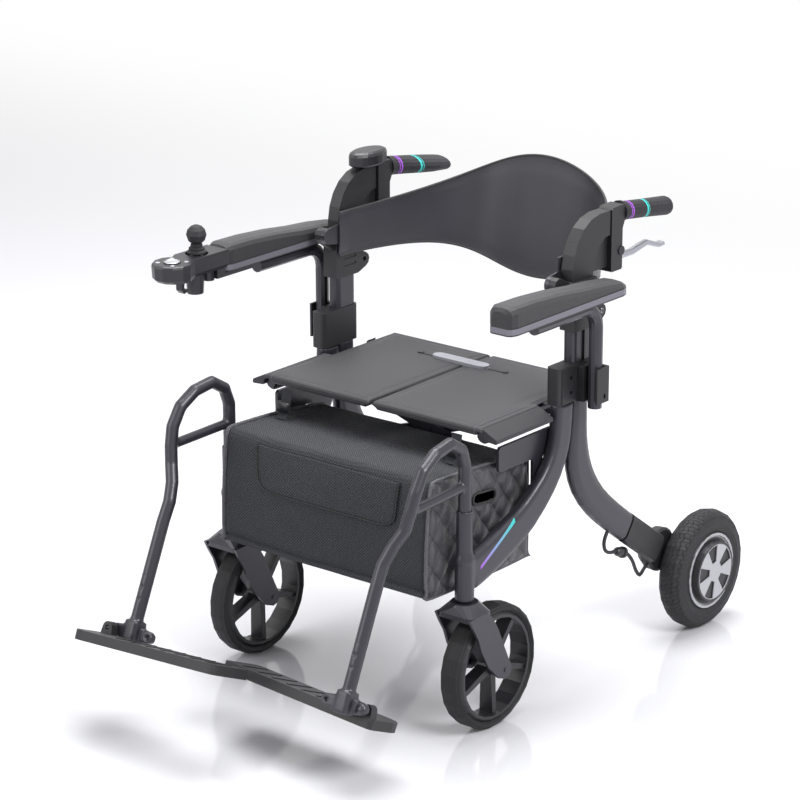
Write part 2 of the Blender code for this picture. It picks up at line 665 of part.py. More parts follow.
# Fold: crossed braces and the seat
STRAP_Y = 0.245
FOLD_RISE = (SEAT_TUBE_Z - FOLD_Z) / (FOLD_X + SEAT_TUBE_X)
CROSS_Z = FOLD_Z + FOLD_X * FOLD_RISE
CROSS_PIN_R = 0.0040
BAR_END_HALF = 0.0048        # upper half of a bar where it passes under the seat board
PANEL_OUT_X = 0.2185
FLANGE_END_Y = 0.148
BEVEL_IN_X = 0.1980
BEVEL_LOW_Z = 0.4635


def brace(side, front_y):
    """Flat bar from the lower pivot on this side, over the crossing, to the seat tube on the other side."""
    name = "right" if side == RIGHT else "left"
    low = Vector((side * FOLD_X, 0.0, FOLD_Z))
    high = Vector((-side * SEAT_TUBE_X, 0.0, SEAT_TUBE_Z))
    run = (high - low).normalized()
    across = Vector((-run.z, 0.0, run.x))
    half = BRACE_W / 2
    wide = half + 0.0035
    under = ((0.0, half), (0.10, half), (0.30, wide), (0.70, wide), (0.90, half), (1.0, half))
    over = under[:-1] + ((0.935, half), (0.965, BAR_END_HALF), (1.0, BAR_END_HALF))
    length = (high - low).length
    sign = 1.0 if across.z > 0.0 else -1.0
    outline = [low + run * length * t + across * sign * w for t, w in over]
    outline += [low + run * length * t - across * sign * w for t, w in reversed(under)]
    on = "fold" if side == RIGHT else "fold_cross"
    bar = finish(f"brace_{name}", prism([(p.x, p.z) for p in outline], front_y, front_y + BRACE_T, "Y"),
                 material("brace", FRAME_PAINT, 0.35, 0.6), on)
    seat_tube = rod((high.x, SEAT_FRONT_Y + 0.008, high.z), (high.x, SEAT_BACK_Y - 0.006, high.z),
                    SEAT_TUBE_R, 12)
    eye = rod((low.x, front_y - 0.0020, low.z), (low.x, front_y + BRACE_T + 0.0020, low.z), 0.0130, 14)
    add(bar, seat_tube, eye)
    if side == RIGHT:
        add(bar, rod((0, front_y - 0.0025, CROSS_Z), (0, BRACE_B_Y + BRACE_T + 0.0030, CROSS_Z),
                     CROSS_PIN_R, 8),
            rod((0, front_y + 0.001, CROSS_Z), (0, BRACE_B_Y - RUN, CROSS_Z), 0.0085, 10),
            rod((0, BRACE_B_Y + BRACE_T + RUN, CROSS_Z), (0, BRACE_B_Y + BRACE_T + 0.0035, CROSS_Z),
                0.0075, 6))
    else:
        cut(bar, rod((0, front_y - 0.01, CROSS_Z), (0, front_y + 0.02, CROSS_Z), CROSS_PIN_R + FIT, 10))
    cut(bar, rod((low.x, front_y - 0.01, low.z), (low.x, front_y + BRACE_T + 0.01, low.z),
                 FOLD_AXLE_R + RUN, 12))


def seat_panel(side, name):
    """Padded board on two sleeves round the seat tube.

    Its inner edge is undercut so the two boards can lift at the seam, a skirt covers the tube in front of
    the uprights, and beside them the outer edge is bevelled to swing past.
    """
    inner, base, top, outer = SEAM_GAP / 2, SEAT_BASE_Z, SEAT_Z, PANEL_OUT_X
    body = [(inner, top - 0.0030), (inner + 0.0085, base + 0.0012), (inner + 0.0100, base), (outer, base),
            (outer, top - 0.0030), (outer - 0.0035, top), (inner + 0.0040, top),
            (inner + 0.0012, top - 0.0008)]
    ends = ((SEAT_FRONT_Y, 0.0045), (SEAT_FRONT_Y + 0.0015, 0.0015), (SEAT_FRONT_Y + 0.0050, 0.0),
            (SEAT_BACK_Y - 0.0050, 0.0), (SEAT_BACK_Y - 0.0015, 0.0015), (SEAT_BACK_Y, 0.0045))
    middle = (base + top) / 2
    rings = []
    for y, drawn in ends:
        k = 1.0 - drawn / (top - middle)
        rings.append([(side * x, y, middle + (z - middle) * k) for x, z in body])
    panel = finish(f"seat_panel_{name}", loft(bmesh.new(), rings), material("seat", (0.30, 0.30, 0.32),
                                                                            0.6),
                   f"seat_panel_{name}")
    skirt = [(outer - 0.004, base), (outer + 0.0010, base), (outer + 0.0040, 0.4545), (0.2430, 0.4530),
             (0.2448, 0.4550), (0.2440, 0.4600), (outer, top - 0.0012), (outer - 0.004, top - 0.0030)]
    add(panel, prism([(side * x, z) for x, z in skirt], SEAT_FRONT_Y + 0.0020, FLANGE_END_Y, "Y"))
    x = side * SEAT_TUBE_X
    for start in (0.0180, 0.2620):
        add(panel, rod((x, start, SEAT_TUBE_Z), (x, start + 0.0200, SEAT_TUBE_Z), SEAT_TUBE_R + 0.0036, 14))
    bevel = [(BEVEL_IN_X, top + 0.0004), (outer + 0.0010, BEVEL_LOW_Z), (outer + 0.0010, top + 0.0050),
             (BEVEL_IN_X, top + 0.0050)]
    cut(panel, rod((x, -0.02, SEAT_TUBE_Z), (x, 0.35, SEAT_TUBE_Z), SEAT_TUBE_R + RUN, 14),
        rod((x, BRACE_A_Y - 0.0025, SEAT_TUBE_Z), (x, BRACE_B_Y + BRACE_T + 0.0025, SEAT_TUBE_Z), 0.0132,
            16),
        prism([(side * x, z) for x, z in bevel], FLANGE_END_Y, SEAT_BACK_Y + 0.01, "Y"))


def strap_handle():
    """Moulded grip on a flat cord across the seam, for pulling the seat up."""
    y, z = STRAP_Y, SEAT_Z + FIT
    outline = arc((0.0340, y), 0.0105, -90, 90, 4) + arc((-0.0560, y), 0.0105, 90, 270, 4)
    grip = finish("strap_handle", prism(outline, z, z + 0.0055, "Z"), material("strap_grip", (0.5, 0.5,
                                                                                              0.52), 0.5),
                  "seat_panel_right")
    add(grip, block((-0.0930, y - 0.0040, z), (0.0780, y + 0.0040, z + 0.0022)),
        rod((0.0780, y, z), (0.0780, y, z + 0.0030), 0.0055, 8),
        rod((-0.0930, y, z), (-0.0930, y, z + 0.0030), 0.0055, 8))


# Uprights, armrests and handles
UPRIGHT_Y = 0.2170
UPRIGHT_DEEP = 0.0460
LEVER_T = 0.0110
HANDLE_IN_X = 0.2228
HANDLE_OUT_X = 0.2440
CLAMP_FRONT_Y = 0.1560
CLAMP_BACK_Y = 0.2430
CLAMP_IN_X = 0.2235
CLAMP_OUT_X = 0.2500
CLAMP_BASE_Z = LEG_TOP_Z + FIT
CLAMP_TOP_Z = 0.5350
SHOULDER_BASE_Z = 0.5860
SHOULDER_TOP_Z = 0.6640
SHOULDER_IN_X = 0.2235
SHOULDER_OUT_X = 0.2515
UPRIGHT_BORE_TOP_Z = 0.6120


def upright(side, name):
    """Extruded post with a groove down its outer face."""
    x = side * LEG_X
    section = [(x + a, UPRIGHT_Y + b) for a, b in box_section(LEG_T, UPRIGHT_DEEP, 0.0080)]
    post = finish(f"upright_{name}", prism(section, CLAMP_BASE_Z, UPRIGHT_BORE_TOP_Z - FIT, "Z"),
                  material("frame_paint", FRAME_PAINT, 0.35, 0.6), frame_of(side))
    low, high = span(side, LEG_X + LEG_T / 2 - 0.0030, LEG_X + LEG_T / 2 + 0.0050)
    cut(post, block((low, UPRIGHT_Y - 0.0055, CLAMP_TOP_Z + 0.0005), (high, UPRIGHT_Y + 0.0055,
                                                                      SHOULDER_BASE_Z - 0.0005)))


def arm_bracket(side, name):
    """Clamp round the upright with a channel at its outer side that guides the armrest tube."""
    low, high = span(side, CLAMP_IN_X, CLAMP_OUT_X)
    middle_x, middle_y = (low + high) / 2, (CLAMP_FRONT_Y + CLAMP_BACK_Y) / 2
    outline = [(middle_x + a, middle_y + b)
               for a, b in box_section(high - low, CLAMP_BACK_Y - CLAMP_FRONT_Y, 0.0070)]
    bracket = finish(f"arm_bracket_{name}", prism(outline, CLAMP_BASE_Z, CLAMP_TOP_Z, "Z"),
                     material("moulding", BLACK, 0.5), frame_of(side))
    reach = ARM_TUBE_R + RUN
    channel = [(CLAMP_OUT_X - 0.004, 0.1990), (ARM_X - reach, 0.1990), (ARM_X - reach, ARM_TUBE_Y + reach),
               (ARM_X + reach, ARM_TUBE_Y + reach), (ARM_X + reach, 0.1990),
               (ARM_X + reach + 0.0034, 0.1990),
               (ARM_X + reach + 0.0034, ARM_TUBE_Y + reach + 0.0040), (ARM_X + reach,
                                                                       ARM_TUBE_Y + reach + 0.0060),
               (CLAMP_OUT_X - 0.004, ARM_TUBE_Y + reach + 0.0060)]
    low, high = span(side, CLAMP_OUT_X - 0.001, CLAMP_OUT_X + 0.0014)
    add(bracket, prism([(side * x, y) for x, y in channel], CLAMP_BASE_Z, CLAMP_TOP_Z - 0.0030, "Z"),
        block((low, CLAMP_FRONT_Y + 0.006, CLAMP_BASE_Z + 0.0010), (high, 0.1985, CLAMP_TOP_Z - 0.0010)))
    bore = [(side * LEG_X + a, UPRIGHT_Y + b) for a, b in box_section(LEG_T + 2 * FIT,
                                                                      UPRIGHT_DEEP + 2 * FIT, 0.0083)]
    cut(bracket, prism(bore, CLAMP_BASE_Z - 0.01, CLAMP_TOP_Z + 0.01, "Z"))
    for z in (0.4925, 0.5160):
        cut(bracket, rod((side * (CLAMP_OUT_X - 0.0030), 0.1840, z), (side * (CLAMP_OUT_X + 0.01), 0.1840,
                                                                      z), 0.0036, 8))
    hole = move(rod((side * (ARM_X + reach - 0.002), 0, 0), (side * (ARM_X + reach + 0.01), 0, 0), 0.0030,
                    8),
                Matrix.Translation((0, 0.2180, 0.4860)) @ Matrix.Diagonal((1, 1, 1.5, 1)))
    cut(bracket, hole)


def shoulder(side, name):
    """Moulding on top of the upright, with the ear that carries the backrest's hinge pin."""
    outline = [(0.1900, 0.5870), (0.1915, SHOULDER_BASE_Z), (0.2440, SHOULDER_BASE_Z), (0.2520, 0.5890)]
    outline += arc((0.2600, 0.6050), 0.0120, -70, 70, 4)
    outline += [(0.2520, 0.6220), (0.2470, 0.6320), (0.2470, SHOULDER_TOP_Z - 0.0010),
                (0.2460, SHOULDER_TOP_Z),
                (0.1925, SHOULDER_TOP_Z), (0.1905, SHOULDER_TOP_Z - 0.0020)]
    body = finish(f"shoulder_{name}", prism(outline, *span(side, SHOULDER_IN_X, SHOULDER_OUT_X)),
                  material("moulding", BLACK, 0.5), frame_of(side))
    ear_in, ear_out = DISC_OUT_X + RUN, DISC_OUT_X + 0.0120
    ear = prism(hull_outline(((DISC_Y, DISC_Z, DISC_R), (0.1990, 0.6430, 0.0140)), 5),
                *span(side, ear_in, ear_out))
    pin = rod((side * (BRACKET_OUT_X - 0.0010), DISC_Y, DISC_Z), (side * (ear_in + 0.002), DISC_Y, DISC_Z),
              DISC_PIN_R, 8)
    add(body, ear, pin)
    bore = [(side * LEG_X + a, UPRIGHT_Y + b) for a, b in box_section(LEG_T + 2 * FIT,
                                                                      UPRIGHT_DEEP + 2 * FIT, 0.0083)]
    cut(body, prism(bore, SHOULDER_BASE_Z - 0.01, UPRIGHT_BORE_TOP_Z, "Z"))
    face = span(side, SHOULDER_IN_X - 0.002, SHOULDER_IN_X + 0.0011)
    for z in (0.6030, 0.6150):
        cut(body, block((face[0], 0.2080, z), (face[1], 0.2380, z + 0.0045)))
    cut(body, rod((side * (SHOULDER_IN_X - 0.002), 0.2600, 0.6060), (side * (SHOULDER_IN_X + 0.006),
                                                                     0.2600, 0.6060),
                  0.0042, 8))


def handle_arm(side, name):
    """Swept arm from the shoulder to the lever housing, with the bar inside the grip."""
    outer = [(0.1930, SHOULDER_TOP_Z + FIT), (0.1935, 0.6820), (0.1975, 0.7040), (0.2065, 0.7240),
             (0.2210, 0.7410),
             (0.2400, 0.7525), (0.2620, 0.7575), (0.2895, 0.7575)]
    inner = [(0.2895, 0.7190), (0.2770, 0.7170), (0.2650, 0.7090), (0.2550, 0.6960), (0.2490, 0.6810),
             (0.2465, SHOULDER_TOP_Z + FIT)]
    arm = finish(f"handle_arm_{name}", prism(outer + inner, *span(side, HANDLE_IN_X, HANDLE_OUT_X)),
                 material("moulding", BLACK, 0.5), frame_of(side))
    housing = prism([(0.2925, 0.6600), (0.2945, 0.6580), (0.3190, 0.6580), (0.3215, 0.6600),
                     (0.3215, 0.7230),
                     (0.3270, 0.7350), (0.3270, 0.7570), (0.3230, 0.7610), (0.2960, 0.7600),
                     (0.2925, 0.7570)],
                    *span(side, 0.2200, 0.2450))
    web = prism([(0.2440, 0.6660), (0.3000, 0.6660), (0.3000, 0.7450), (0.2600, 0.7450), (0.2440, 0.7000)],
                *span(side, 0.2285, 0.2365))
    x = side * HANDLE_X
    bar = rod((x, 0.3200, grip_z(0.3200)), (x, GRIP_BACK[0] - 0.012, grip_z(GRIP_BACK[0] - 0.012)),
              GRIP_R - 0.0055, 10)
    add(arm, housing, web, bar)
    slot = span(side, HANDLE_X - LEVER_T / 2 - RUN, HANDLE_X + LEVER_T / 2 + RUN)
    cut(arm, block((slot[0], LEVER_PIVOT[0] - 0.0110, LEVER_PIVOT[1] - 0.0180),
                   (slot[1], 0.3400, LEVER_PIVOT[1] + 0.0140)))
    add(arm, rod((side * 0.2185, *LEVER_PIVOT), (side * 0.2465, *LEVER_PIVOT), 0.0036, 8),
        rod((side * 0.2440, *LEVER_PIVOT), (side * 0.2468, *LEVER_PIVOT), 0.0075, 12))


def grip_z(y):
    """Height of the grip's axis at a station, along the line that slopes down to the back."""
    (y0, z0), (y1, z1) = GRIP_FRONT, GRIP_BACK
    return z0 + (z1 - z0) * (y - y0) / (y1 - y0)


def grip(side, name):
    """Round grip on the right, wide palm rest on the left, both sleeves over the handle's bar."""
    x = side * HANDLE_X
    start, end = 0.3276, GRIP_BACK[0]
    if side == RIGHT:
        stations = ((start, 0.0165, 0.0165, 0.0), (start + 0.006, 0.0165, 0.0165, 0.0),
                    (start + 0.008, 0.0150, 0.0150, 0.0),
                    (0.3900, 0.0148, 0.0148, 0.0), (end - 0.006, 0.0156, 0.0156, 0.0),
                    (end - 0.002, 0.0145, 0.0145, 0.0),
                    (end, 0.0115, 0.0115, 0.0))
    else:
        stations = ((start, 0.0165, 0.0165, 0.0), (start + 0.012, 0.0160, 0.0160, 0.0),
                    (0.3650, 0.0185, 0.0155, 0.002),
                    (0.3950, 0.0240, 0.0150, 0.006), (0.4250, 0.0280, 0.0140, 0.009),
                    (end - 0.005, 0.0270, 0.0125, 0.009),
                    (end, 0.0225, 0.0100, 0.008))
    rings = []
    for y, wide, tall, shift in stations:
        rings.append([(x - side * shift + wide * math.cos(2 * math.pi * i / 16), y,
                       grip_z(y) + tall * math.sin(2 * math.pi * i / 16)) for i in range(16)])
    body = finish(f"grip_{name}", loft(bmesh.new(), rings), material("grip_rubber", BLACK, 0.6),
                  frame_of(side))
    cut(body, rod((x, 0.3100, grip_z(0.3100)), (x, end - 0.0105, grip_z(end - 0.0105)),
                  GRIP_R - 0.0055 + FIT, 10))


def brake_lever(side, name):
    """Flat cast lever that squeezes up towards the grip."""
    x = side * HANDLE_X
    y0, z0 = LEVER_PIVOT
    path = [(x, y0 + 0.004, z0 - 0.003), (x, y0 + 0.022, z0 - 0.013), (x, 0.3620, 0.6745),
            (x, 0.3860, 0.6790),
            (x, 0.4020, 0.6815), (x, 0.4180, 0.6760), (x, 0.4340, 0.6705), (x, 0.4450, 0.6715)]
    path = curve_through(path, 1)
    widths = (1.0, 1.0, 1.1, 1.25)

    def scale(t):
        k = t * (len(widths) - 1)
        i = min(int(k), len(widths) - 2)
        w = widths[i] + (widths[i + 1] - widths[i]) * (k - i)
        return w, 1.0 - 0.35 * t
    lever = finish(f"brake_lever_{name}", sweep(box_section(LEVER_T, 0.0110, 0.0035, 2), path, (1, 0, 0),
                                                scale),
                   material("lever", SILVER, 0.3, 0.9), f"brake_{name}")
    low, high = x - LEVER_T / 2, x + LEVER_T / 2
    add(lever, rod((low, *LEVER_PIVOT), (high, *LEVER_PIVOT), 0.0085, 14))
    cut(lever, rod((x - 0.02, *LEVER_PIVOT), (x + 0.02, *LEVER_PIVOT), 0.0036 + FIT, 10))


ARM_TOP_Z = 0.6300
ARM_LOW_Z = 0.4660


def arm_tube(side, name):
    """Bent tube that slides in the clamp's channel and carries the arm pad."""
    x = side * ARM_X
    path = rounded_path([(x, 0.0544, ARM_TOP_Z), (x, ARM_TUBE_Y, ARM_TOP_Z), (x, ARM_TUBE_Y, ARM_LOW_Z)],
                        0.034, 5)
    finish(f"arm_tube_{name}", sweep(round_section(ARM_TUBE_R, 12), path),
           material("frame_paint", FRAME_PAINT, 0.35, 0.6),
           f"armrest_{name}")


def arm_pad(side, name):
    """Long pad with a flat metal edge below and a top that dips towards the back."""
    base = ARM_TOP_Z + ARM_TUBE_R + FIT
    stations = ((PAD_FRONT_Y, 0.62, 0.6770), (PAD_FRONT_Y + 0.004, 0.86, 0.6820),
                (PAD_FRONT_Y + 0.014, 1.0, 0.6845),
                (0.0300, 1.0, 0.6838), (0.0900, 1.0, 0.6800), (0.1450, 1.0, 0.6740), (0.2000, 1.0, 0.6700),
                (PAD_BACK_Y - 0.016, 1.0, 0.6640), (PAD_BACK_Y - 0.005, 0.84, 0.6600),
                (PAD_BACK_Y, 0.58, 0.6560))
    rings = []
    for y, wide, top in stations:
        half = PAD_W / 2 * wide
        seam = base + 0.0126
        section = [(half, base), (half, base + 0.0110), (half - 0.0012, base + 0.0118), (half, seam),
                   (half, max(top - 0.0090, seam + 0.0005)), (half - 0.0030, max(top - 0.0030,
                                                                                 seam + 0.0010)),
                   (half - 0.0090, max(top - 0.0004, seam + 0.0015)), (0.0, top + 0.0006)]
        ring = section + [(-a, b) for a, b in reversed(section[:-1])]
        rings.append([(side * PAD_X + a, y, b) for a, b in ring])
    finish(f"arm_pad_{name}", loft(bmesh.new(), rings), material("pad", BLACK, 0.6), f"armrest_{name}")


# Backrest
BAND_TAPER = 5.0           # exponent of the band's plan; more is squarer
BAND_LEAN = 0.17


def band_top(x):
    k = x / 0.2
    return 0.774 - 0.106 * k ** 2 + 0.035 * k ** 4


def band_low(x):
    k = x / 0.2
    return 0.580 + 0.086 * k ** 2 - 0.039 * k ** 4


def backrest_bracket(side, name):
    """Flat arm from the hinge disc back to the end of the band."""
    plate = prism(hull_outline(((DISC_Y, DISC_Z, DISC_R), (0.2080, 0.6620, 0.0190)), 5),
                  *span(side, BRACKET_IN_X, BRACKET_OUT_X))
    bracket = finish(f"backrest_bracket_{name}", plate, material("bracket", BLACK, 0.4), f"flip_{name}")
    add(bracket, rod((side * (BRACKET_OUT_X - 0.001), DISC_Y, DISC_Z),
                     (side * DISC_OUT_X, DISC_Y, DISC_Z), DISC_R, 18))
    cut(bracket, rod((side * (BRACKET_OUT_X - 0.0020), DISC_Y, DISC_Z),
                     (side * (DISC_OUT_X + 0.01), DISC_Y, DISC_Z),
                     DISC_PIN_R + FIT, 10))


def backrest_band():
    """Flexible band bowed from one bracket to the other, wide in the middle and narrow at its ends."""
    angles = (-90, -78, -65, -50, -35, -20, -10, -4, -1.2, 0, 1.2, 4, 10, 20, 35, 50, 65, 78, 90)
    points = [Vector((-BAND_HALF, BAND_END_Y, 0.0))]
    for a in angles:
        s, c = math.sin(math.radians(a)), math.cos(math.radians(a))
        x = math.copysign(abs(s) ** (2 / BAND_TAPER), s) * BAND_HALF
        points.append(Vector((x, BAND_END_Y + BAND_RUN + BAND_DEPTH * c * c, 0.0)))
    points.append(Vector((BAND_HALF, BAND_END_Y, 0.0)))
    rings = []
    for i, p in enumerate(points):
        run = (points[min(i + 1, len(points) - 1)] - points[max(i - 1, 0)]).normalized()
        out = Vector((-run.y, run.x, 0.0)) * (BAND_T / 2)
        low, top = band_low(p.x), band_top(p.x)
        ring = []
        for z, way in ((low, -1), (low, 1), (top, 1), (top, -1)):
            lean = Vector((0.0, BAND_LEAN * (z - DISC_Z) * min(1.0, (p.y - BAND_END_Y) / BAND_DEPTH), z))
            ring.append(p + out * way + lean)
        rings.append(ring)
    finish("backrest_band", loft(bmesh.new(), rings), material("band", BLACK, 0.35), "flip_right", 60.0)


# Bag and power pack
BAG_REAR_Y = 0.1380
BAG_OUTLINE = ((-0.0960, 0.2300), (-0.1080, 0.2420), (-0.1120, 0.2600), (-0.1090, 0.3300),
               (-0.1020, 0.3980),
               (-0.0960, 0.4100), (-0.0820, 0.4140), (0.0300, 0.4080), (0.1240, 0.3960), (0.1370, 0.3880),
               (BAG_REAR_Y, 0.3780), (BAG_REAR_Y, 0.2420), (0.1260, 0.2280))


def inset(outline, amount):
    """The outline moved inwards by an amount, corner by corner."""
    points = [Vector(p) for p in outline]
    moved = []
    for before, here, after in zip(points[-1:] + points[:-1], points, points[1:] + points[:1]):
        a, b = (here - before).normalized(), (after - here).normalized()
        normal_a, normal_b = Vector((a.y, -a.x)), Vector((b.y, -b.x))
        middle = (normal_a + normal_b).normalized()
        moved.append(tuple(here + middle * (amount / max(middle.dot(normal_a), 0.3))))
    return moved


def bag_body():
    """Front, bottom, back and lid of the bag in one wall, open at the sides that the padded ends close."""
    reach = BAG_HALF - BAG_SIDE_T - FIT
    bag = finish("bag_body", prism(BAG_OUTLINE, -reach, reach), material("bag", (0.12, 0.12, 0.13), 0.8))
    cut(bag, prism(inset(BAG_OUTLINE, BAG_WALL), -reach - 0.01, reach + 0.01))


def bag_side(side, name):
    """Padded end of the bag with a slot for the hand."""
    faces = [(BAG_HALF - BAG_SIDE_T, 0.0035), (BAG_HALF - BAG_SIDE_T + 0.0020, 0.0),
             (BAG_HALF - 0.0025, 0.0),
             (BAG_HALF, 0.0040)]
    rings = [[(side * x, y, z) for y, z in inset(BAG_OUTLINE, drawn - 0.0005)] for x, drawn in faces]
    wall = finish(f"bag_side_{name}", loft(bmesh.new(), rings), material("bag_side", (0.25, 0.25, 0.27),
                                                                         0.7),
                  frame_of(side))
    slot = arc((0.0060, 0.3600), 0.0080, 90, 270, 4) + arc((0.0440, 0.3560), 0.0080, -90, 90, 4)
    cut(wall, prism(slot, *span(side, BAG_HALF - 0.02, BAG_HALF + 0.01)))


def power_pack():
    """Battery case that lies on the bottom of the bag."""
    z = BAG_OUTLINE[0][1] + BAG_WALL + FIT
    outline = [(-0.0700, z), (0.0900, z), (0.0960, z + 0.006), (0.0960, z + 0.064), (0.0900, z + 0.070),
               (-0.0700, z + 0.070), (-0.0760, z + 0.064), (-0.0760, z + 0.006)]
    pack = finish("power_pack", prism(outline, 0.0100, 0.1900), material("pack", BLACK, 0.6))
    add(pack, prism([(-0.020, z + 0.069), (-0.012, z + 0.086), (0.032, z + 0.086), (0.040, z + 0.069),
                     (0.030, z + 0.069), (0.025, z + 0.079), (-0.005, z + 0.079), (-0.010, z + 0.069)],
                    0.085, 0.110))


# Controls
CONSOLE_X = -0.2740        # joystick's axis
CONSOLE_Y = -0.0840
CONSOLE_TOP_Z = 0.6807
CONSOLE_BASE_Z = 0.6520
PANEL_CENTRE = (-0.2670, -0.1470)
PANEL_R = 0.0320
WELL_R = 0.0185
WELL_FLOOR_Z = 0.6600
STICK_Z = 0.6705           # where the joystick's two axes cross
RING_R = 0.0150
TRUNNION_R = 0.0018
BUTTON_R = 0.0040
BUTTON_RING_R = 0.0220
BUTTON_ANGLES = (45, 135, 225, 315)


def console():
    """Joystick housing in front of the left pad, widening to a round panel, with the sockets under it."""
    px, py = PANEL_CENTRE
    half = 0.0230
    outline = [(CONSOLE_X + half, PAD_FRONT_Y - FIT), (CONSOLE_X + half, -0.1120)]
    outline += [(px + PANEL_R * math.cos(math.radians(a)), py + PANEL_R * math.sin(math.radians(a)))
                for a in range(45, -226, -30)]
    outline += [(CONSOLE_X - half, -0.1120), (CONSOLE_X - half, PAD_FRONT_Y - FIT)]
    middle = Vector((CONSOLE_X, -0.1000))
    rings = []
    for z, shrink in ((CONSOLE_BASE_Z, 0.90), (CONSOLE_BASE_Z + 0.0050, 0.98),
                      (CONSOLE_TOP_Z - 0.0040, 1.0),
                      (CONSOLE_TOP_Z - 0.0010, 0.985), (CONSOLE_TOP_Z, 0.955)):
        ring = []
        for p in outline:
            q = middle + (Vector(p) - middle) * shrink
            ring.append((q.x, min(q.y, PAD_FRONT_Y - FIT), z))
        rings.append(ring)
    body = finish("console", loft(bmesh.new(), rings), material("console", BLACK, 0.45), "armrest_left")
    socket = rod((CONSOLE_X, -0.0890, CONSOLE_BASE_Z + 0.002), (CONSOLE_X, -0.0890, 0.6180), 0.0150, 12,
                 0.0130)
    second = rod((CONSOLE_X, -0.0580, CONSOLE_BASE_Z + 0.002), (CONSOLE_X, -0.0580, 0.6320), 0.0100, 10,
                 0.0090)
    hook = prism([(-0.1260, 0.6540), (-0.1260, 0.6300), (-0.1200, 0.6240), (-0.1120, 0.6260),
                  (-0.1120, 0.6300),
                  (-0.1180, 0.6300), (-0.1200, 0.6340), (-0.1180, 0.6540)], CONSOLE_X - 0.006,
                 CONSOLE_X + 0.006)
    bezel = rod((px, py, CONSOLE_TOP_Z - 0.001), (px, py, CONSOLE_TOP_Z + 0.0012), 0.0140, 14)
    tongue = block((CONSOLE_X - 0.0150, PAD_FRONT_Y - 0.003, 0.6350), (CONSOLE_X + 0.0150, 0.0300,
                                                                       PAD_BASE_Z - FIT))
    neck = block((CONSOLE_X - 0.0150, PAD_FRONT_Y - 0.020, 0.6350), (CONSOLE_X + 0.0150,
                                                                     PAD_FRONT_Y - 0.0020, 0.6600))
    add(body, socket, second, hook, bezel, tongue, neck)
    cut(body, turned([(WELL_R, WELL_FLOOR_Z), (WELL_R, CONSOLE_TOP_Z + 0.01)],
                     (CONSOLE_X, CONSOLE_Y, 0.0), "Z", 16),
        rod((CONSOLE_X - 0.0208, CONSOLE_Y, STICK_Z), (CONSOLE_X + 0.0208, CONSOLE_Y, STICK_Z),
            TRUNNION_R + FIT, 8))
    for angle in BUTTON_ANGLES:
        bx, by = button_place(angle)
        hole = [(BUTTON_R + FIT, CONSOLE_TOP_Z - 0.0060), (BUTTON_R + FIT, CONSOLE_TOP_Z + 0.01)]
        cut(body, turned(hole, (bx, by, 0.0), "Z", 8))


def button_place(angle):
    return (PANEL_CENTRE[0] + BUTTON_RING_R * math.cos(math.radians(angle)),
            PANEL_CENTRE[1] + BUTTON_RING_R * math.sin(math.radians(angle)))


def buttons():
    for index, angle in enumerate(BUTTON_ANGLES, 1):
        bx, by = button_place(angle)
        low, high = CONSOLE_TOP_Z - 0.0045, CONSOLE_TOP_Z + 0.0012
        cap = turned([(BUTTON_R, low), (BUTTON_R, high - 0.0006), (BUTTON_R - 0.0012, high)],
                     (bx, by, 0.0), "Z", 8)
        finish(f"button_{index}", cap, material("button", (0.80, 0.80, 0.82), 0.4), f"button_{index}")


def gimbal():
    """Ring on two trunnions across the well; the stick turns in it the other way."""
    low, high = STICK_Z - 0.0038, STICK_Z + 0.0038
    ring = turned([(RING_R, low), (RING_R, high), (RING_R - 0.0042, high), (RING_R - 0.0042, low)],
                  (CONSOLE_X, CONSOLE_Y, 0.0), "Z", 20, ring=True)
    body = finish("gimbal", ring, material("gimbal", SILVER, 0.4, 0.8), "gimbal")
    for side in (RIGHT, LEFT):
        add(body, rod((CONSOLE_X + side * (RING_R - 0.0020), CONSOLE_Y, STICK_Z),
                      (CONSOLE_X + side * 0.0203, CONSOLE_Y, STICK_Z), TRUNNION_R, 8))
    cut(body, rod((CONSOLE_X, CONSOLE_Y - 0.02, STICK_Z), (CONSOLE_X, CONSOLE_Y + 0.02, STICK_Z),
                  TRUNNION_R + FIT, 8))


def stick():
    """Ball knob on a ribbed boot, with the pins that hold it in the ring."""
    z = STICK_Z
    profile = [(0.0045, z - 0.0050), (0.0066, z), (0.0060, z + 0.0110)]
    for index in range(3):
        r = 0.0155 - 0.0030 * index
        h = z + 0.0110 + 0.0056 * index
        profile += [(r, h), (r, h + 0.0028), (r - 0.0042, h + 0.0056)]
    knob, centre = 0.0160, z + 0.0400
    profile += [(knob * math.cos(math.radians(a)), centre + knob * math.sin(math.radians(a)))
                for a in (-66, -35, 0, 30, 56, 78)]
    body = finish("stick", turned(profile, (CONSOLE_X, CONSOLE_Y, 0.0), "Z", 14),
                  material("stick", BLACK, 0.5), "stick")
    add(body, rod((CONSOLE_X, CONSOLE_Y - RING_R + 0.001, z), (CONSOLE_X, CONSOLE_Y + RING_R - 0.001, z),
                  TRUNNION_R, 12))


def palm_console():
    """Oval switch box on top of the left handle."""
    centre = Vector((-0.2280, 0.2754))
    rings = []
    for z, k in ((0.7614, 0.90), (0.7640, 1.0), (0.7780, 1.0), (0.7825, 0.94), (0.7850, 0.80)):
        rings.append([(centre.x + 0.0220 * k * math.cos(a), centre.y + 0.0407 * k * math.sin(a), z)
                      for a in (2 * math.pi * i / 22 for i in range(22))])
    finish("palm_console", loft(bmesh.new(), rings), material("console", BLACK, 0.45), "frame_left")


# Motor cables
CONNECTOR_R = 0.0075
CABLE_IN = (0.4330, 0.1295)      # (y, z) where the cable enters the motor's cup
CABLE_WAY_IN = (0.866, 0.5)


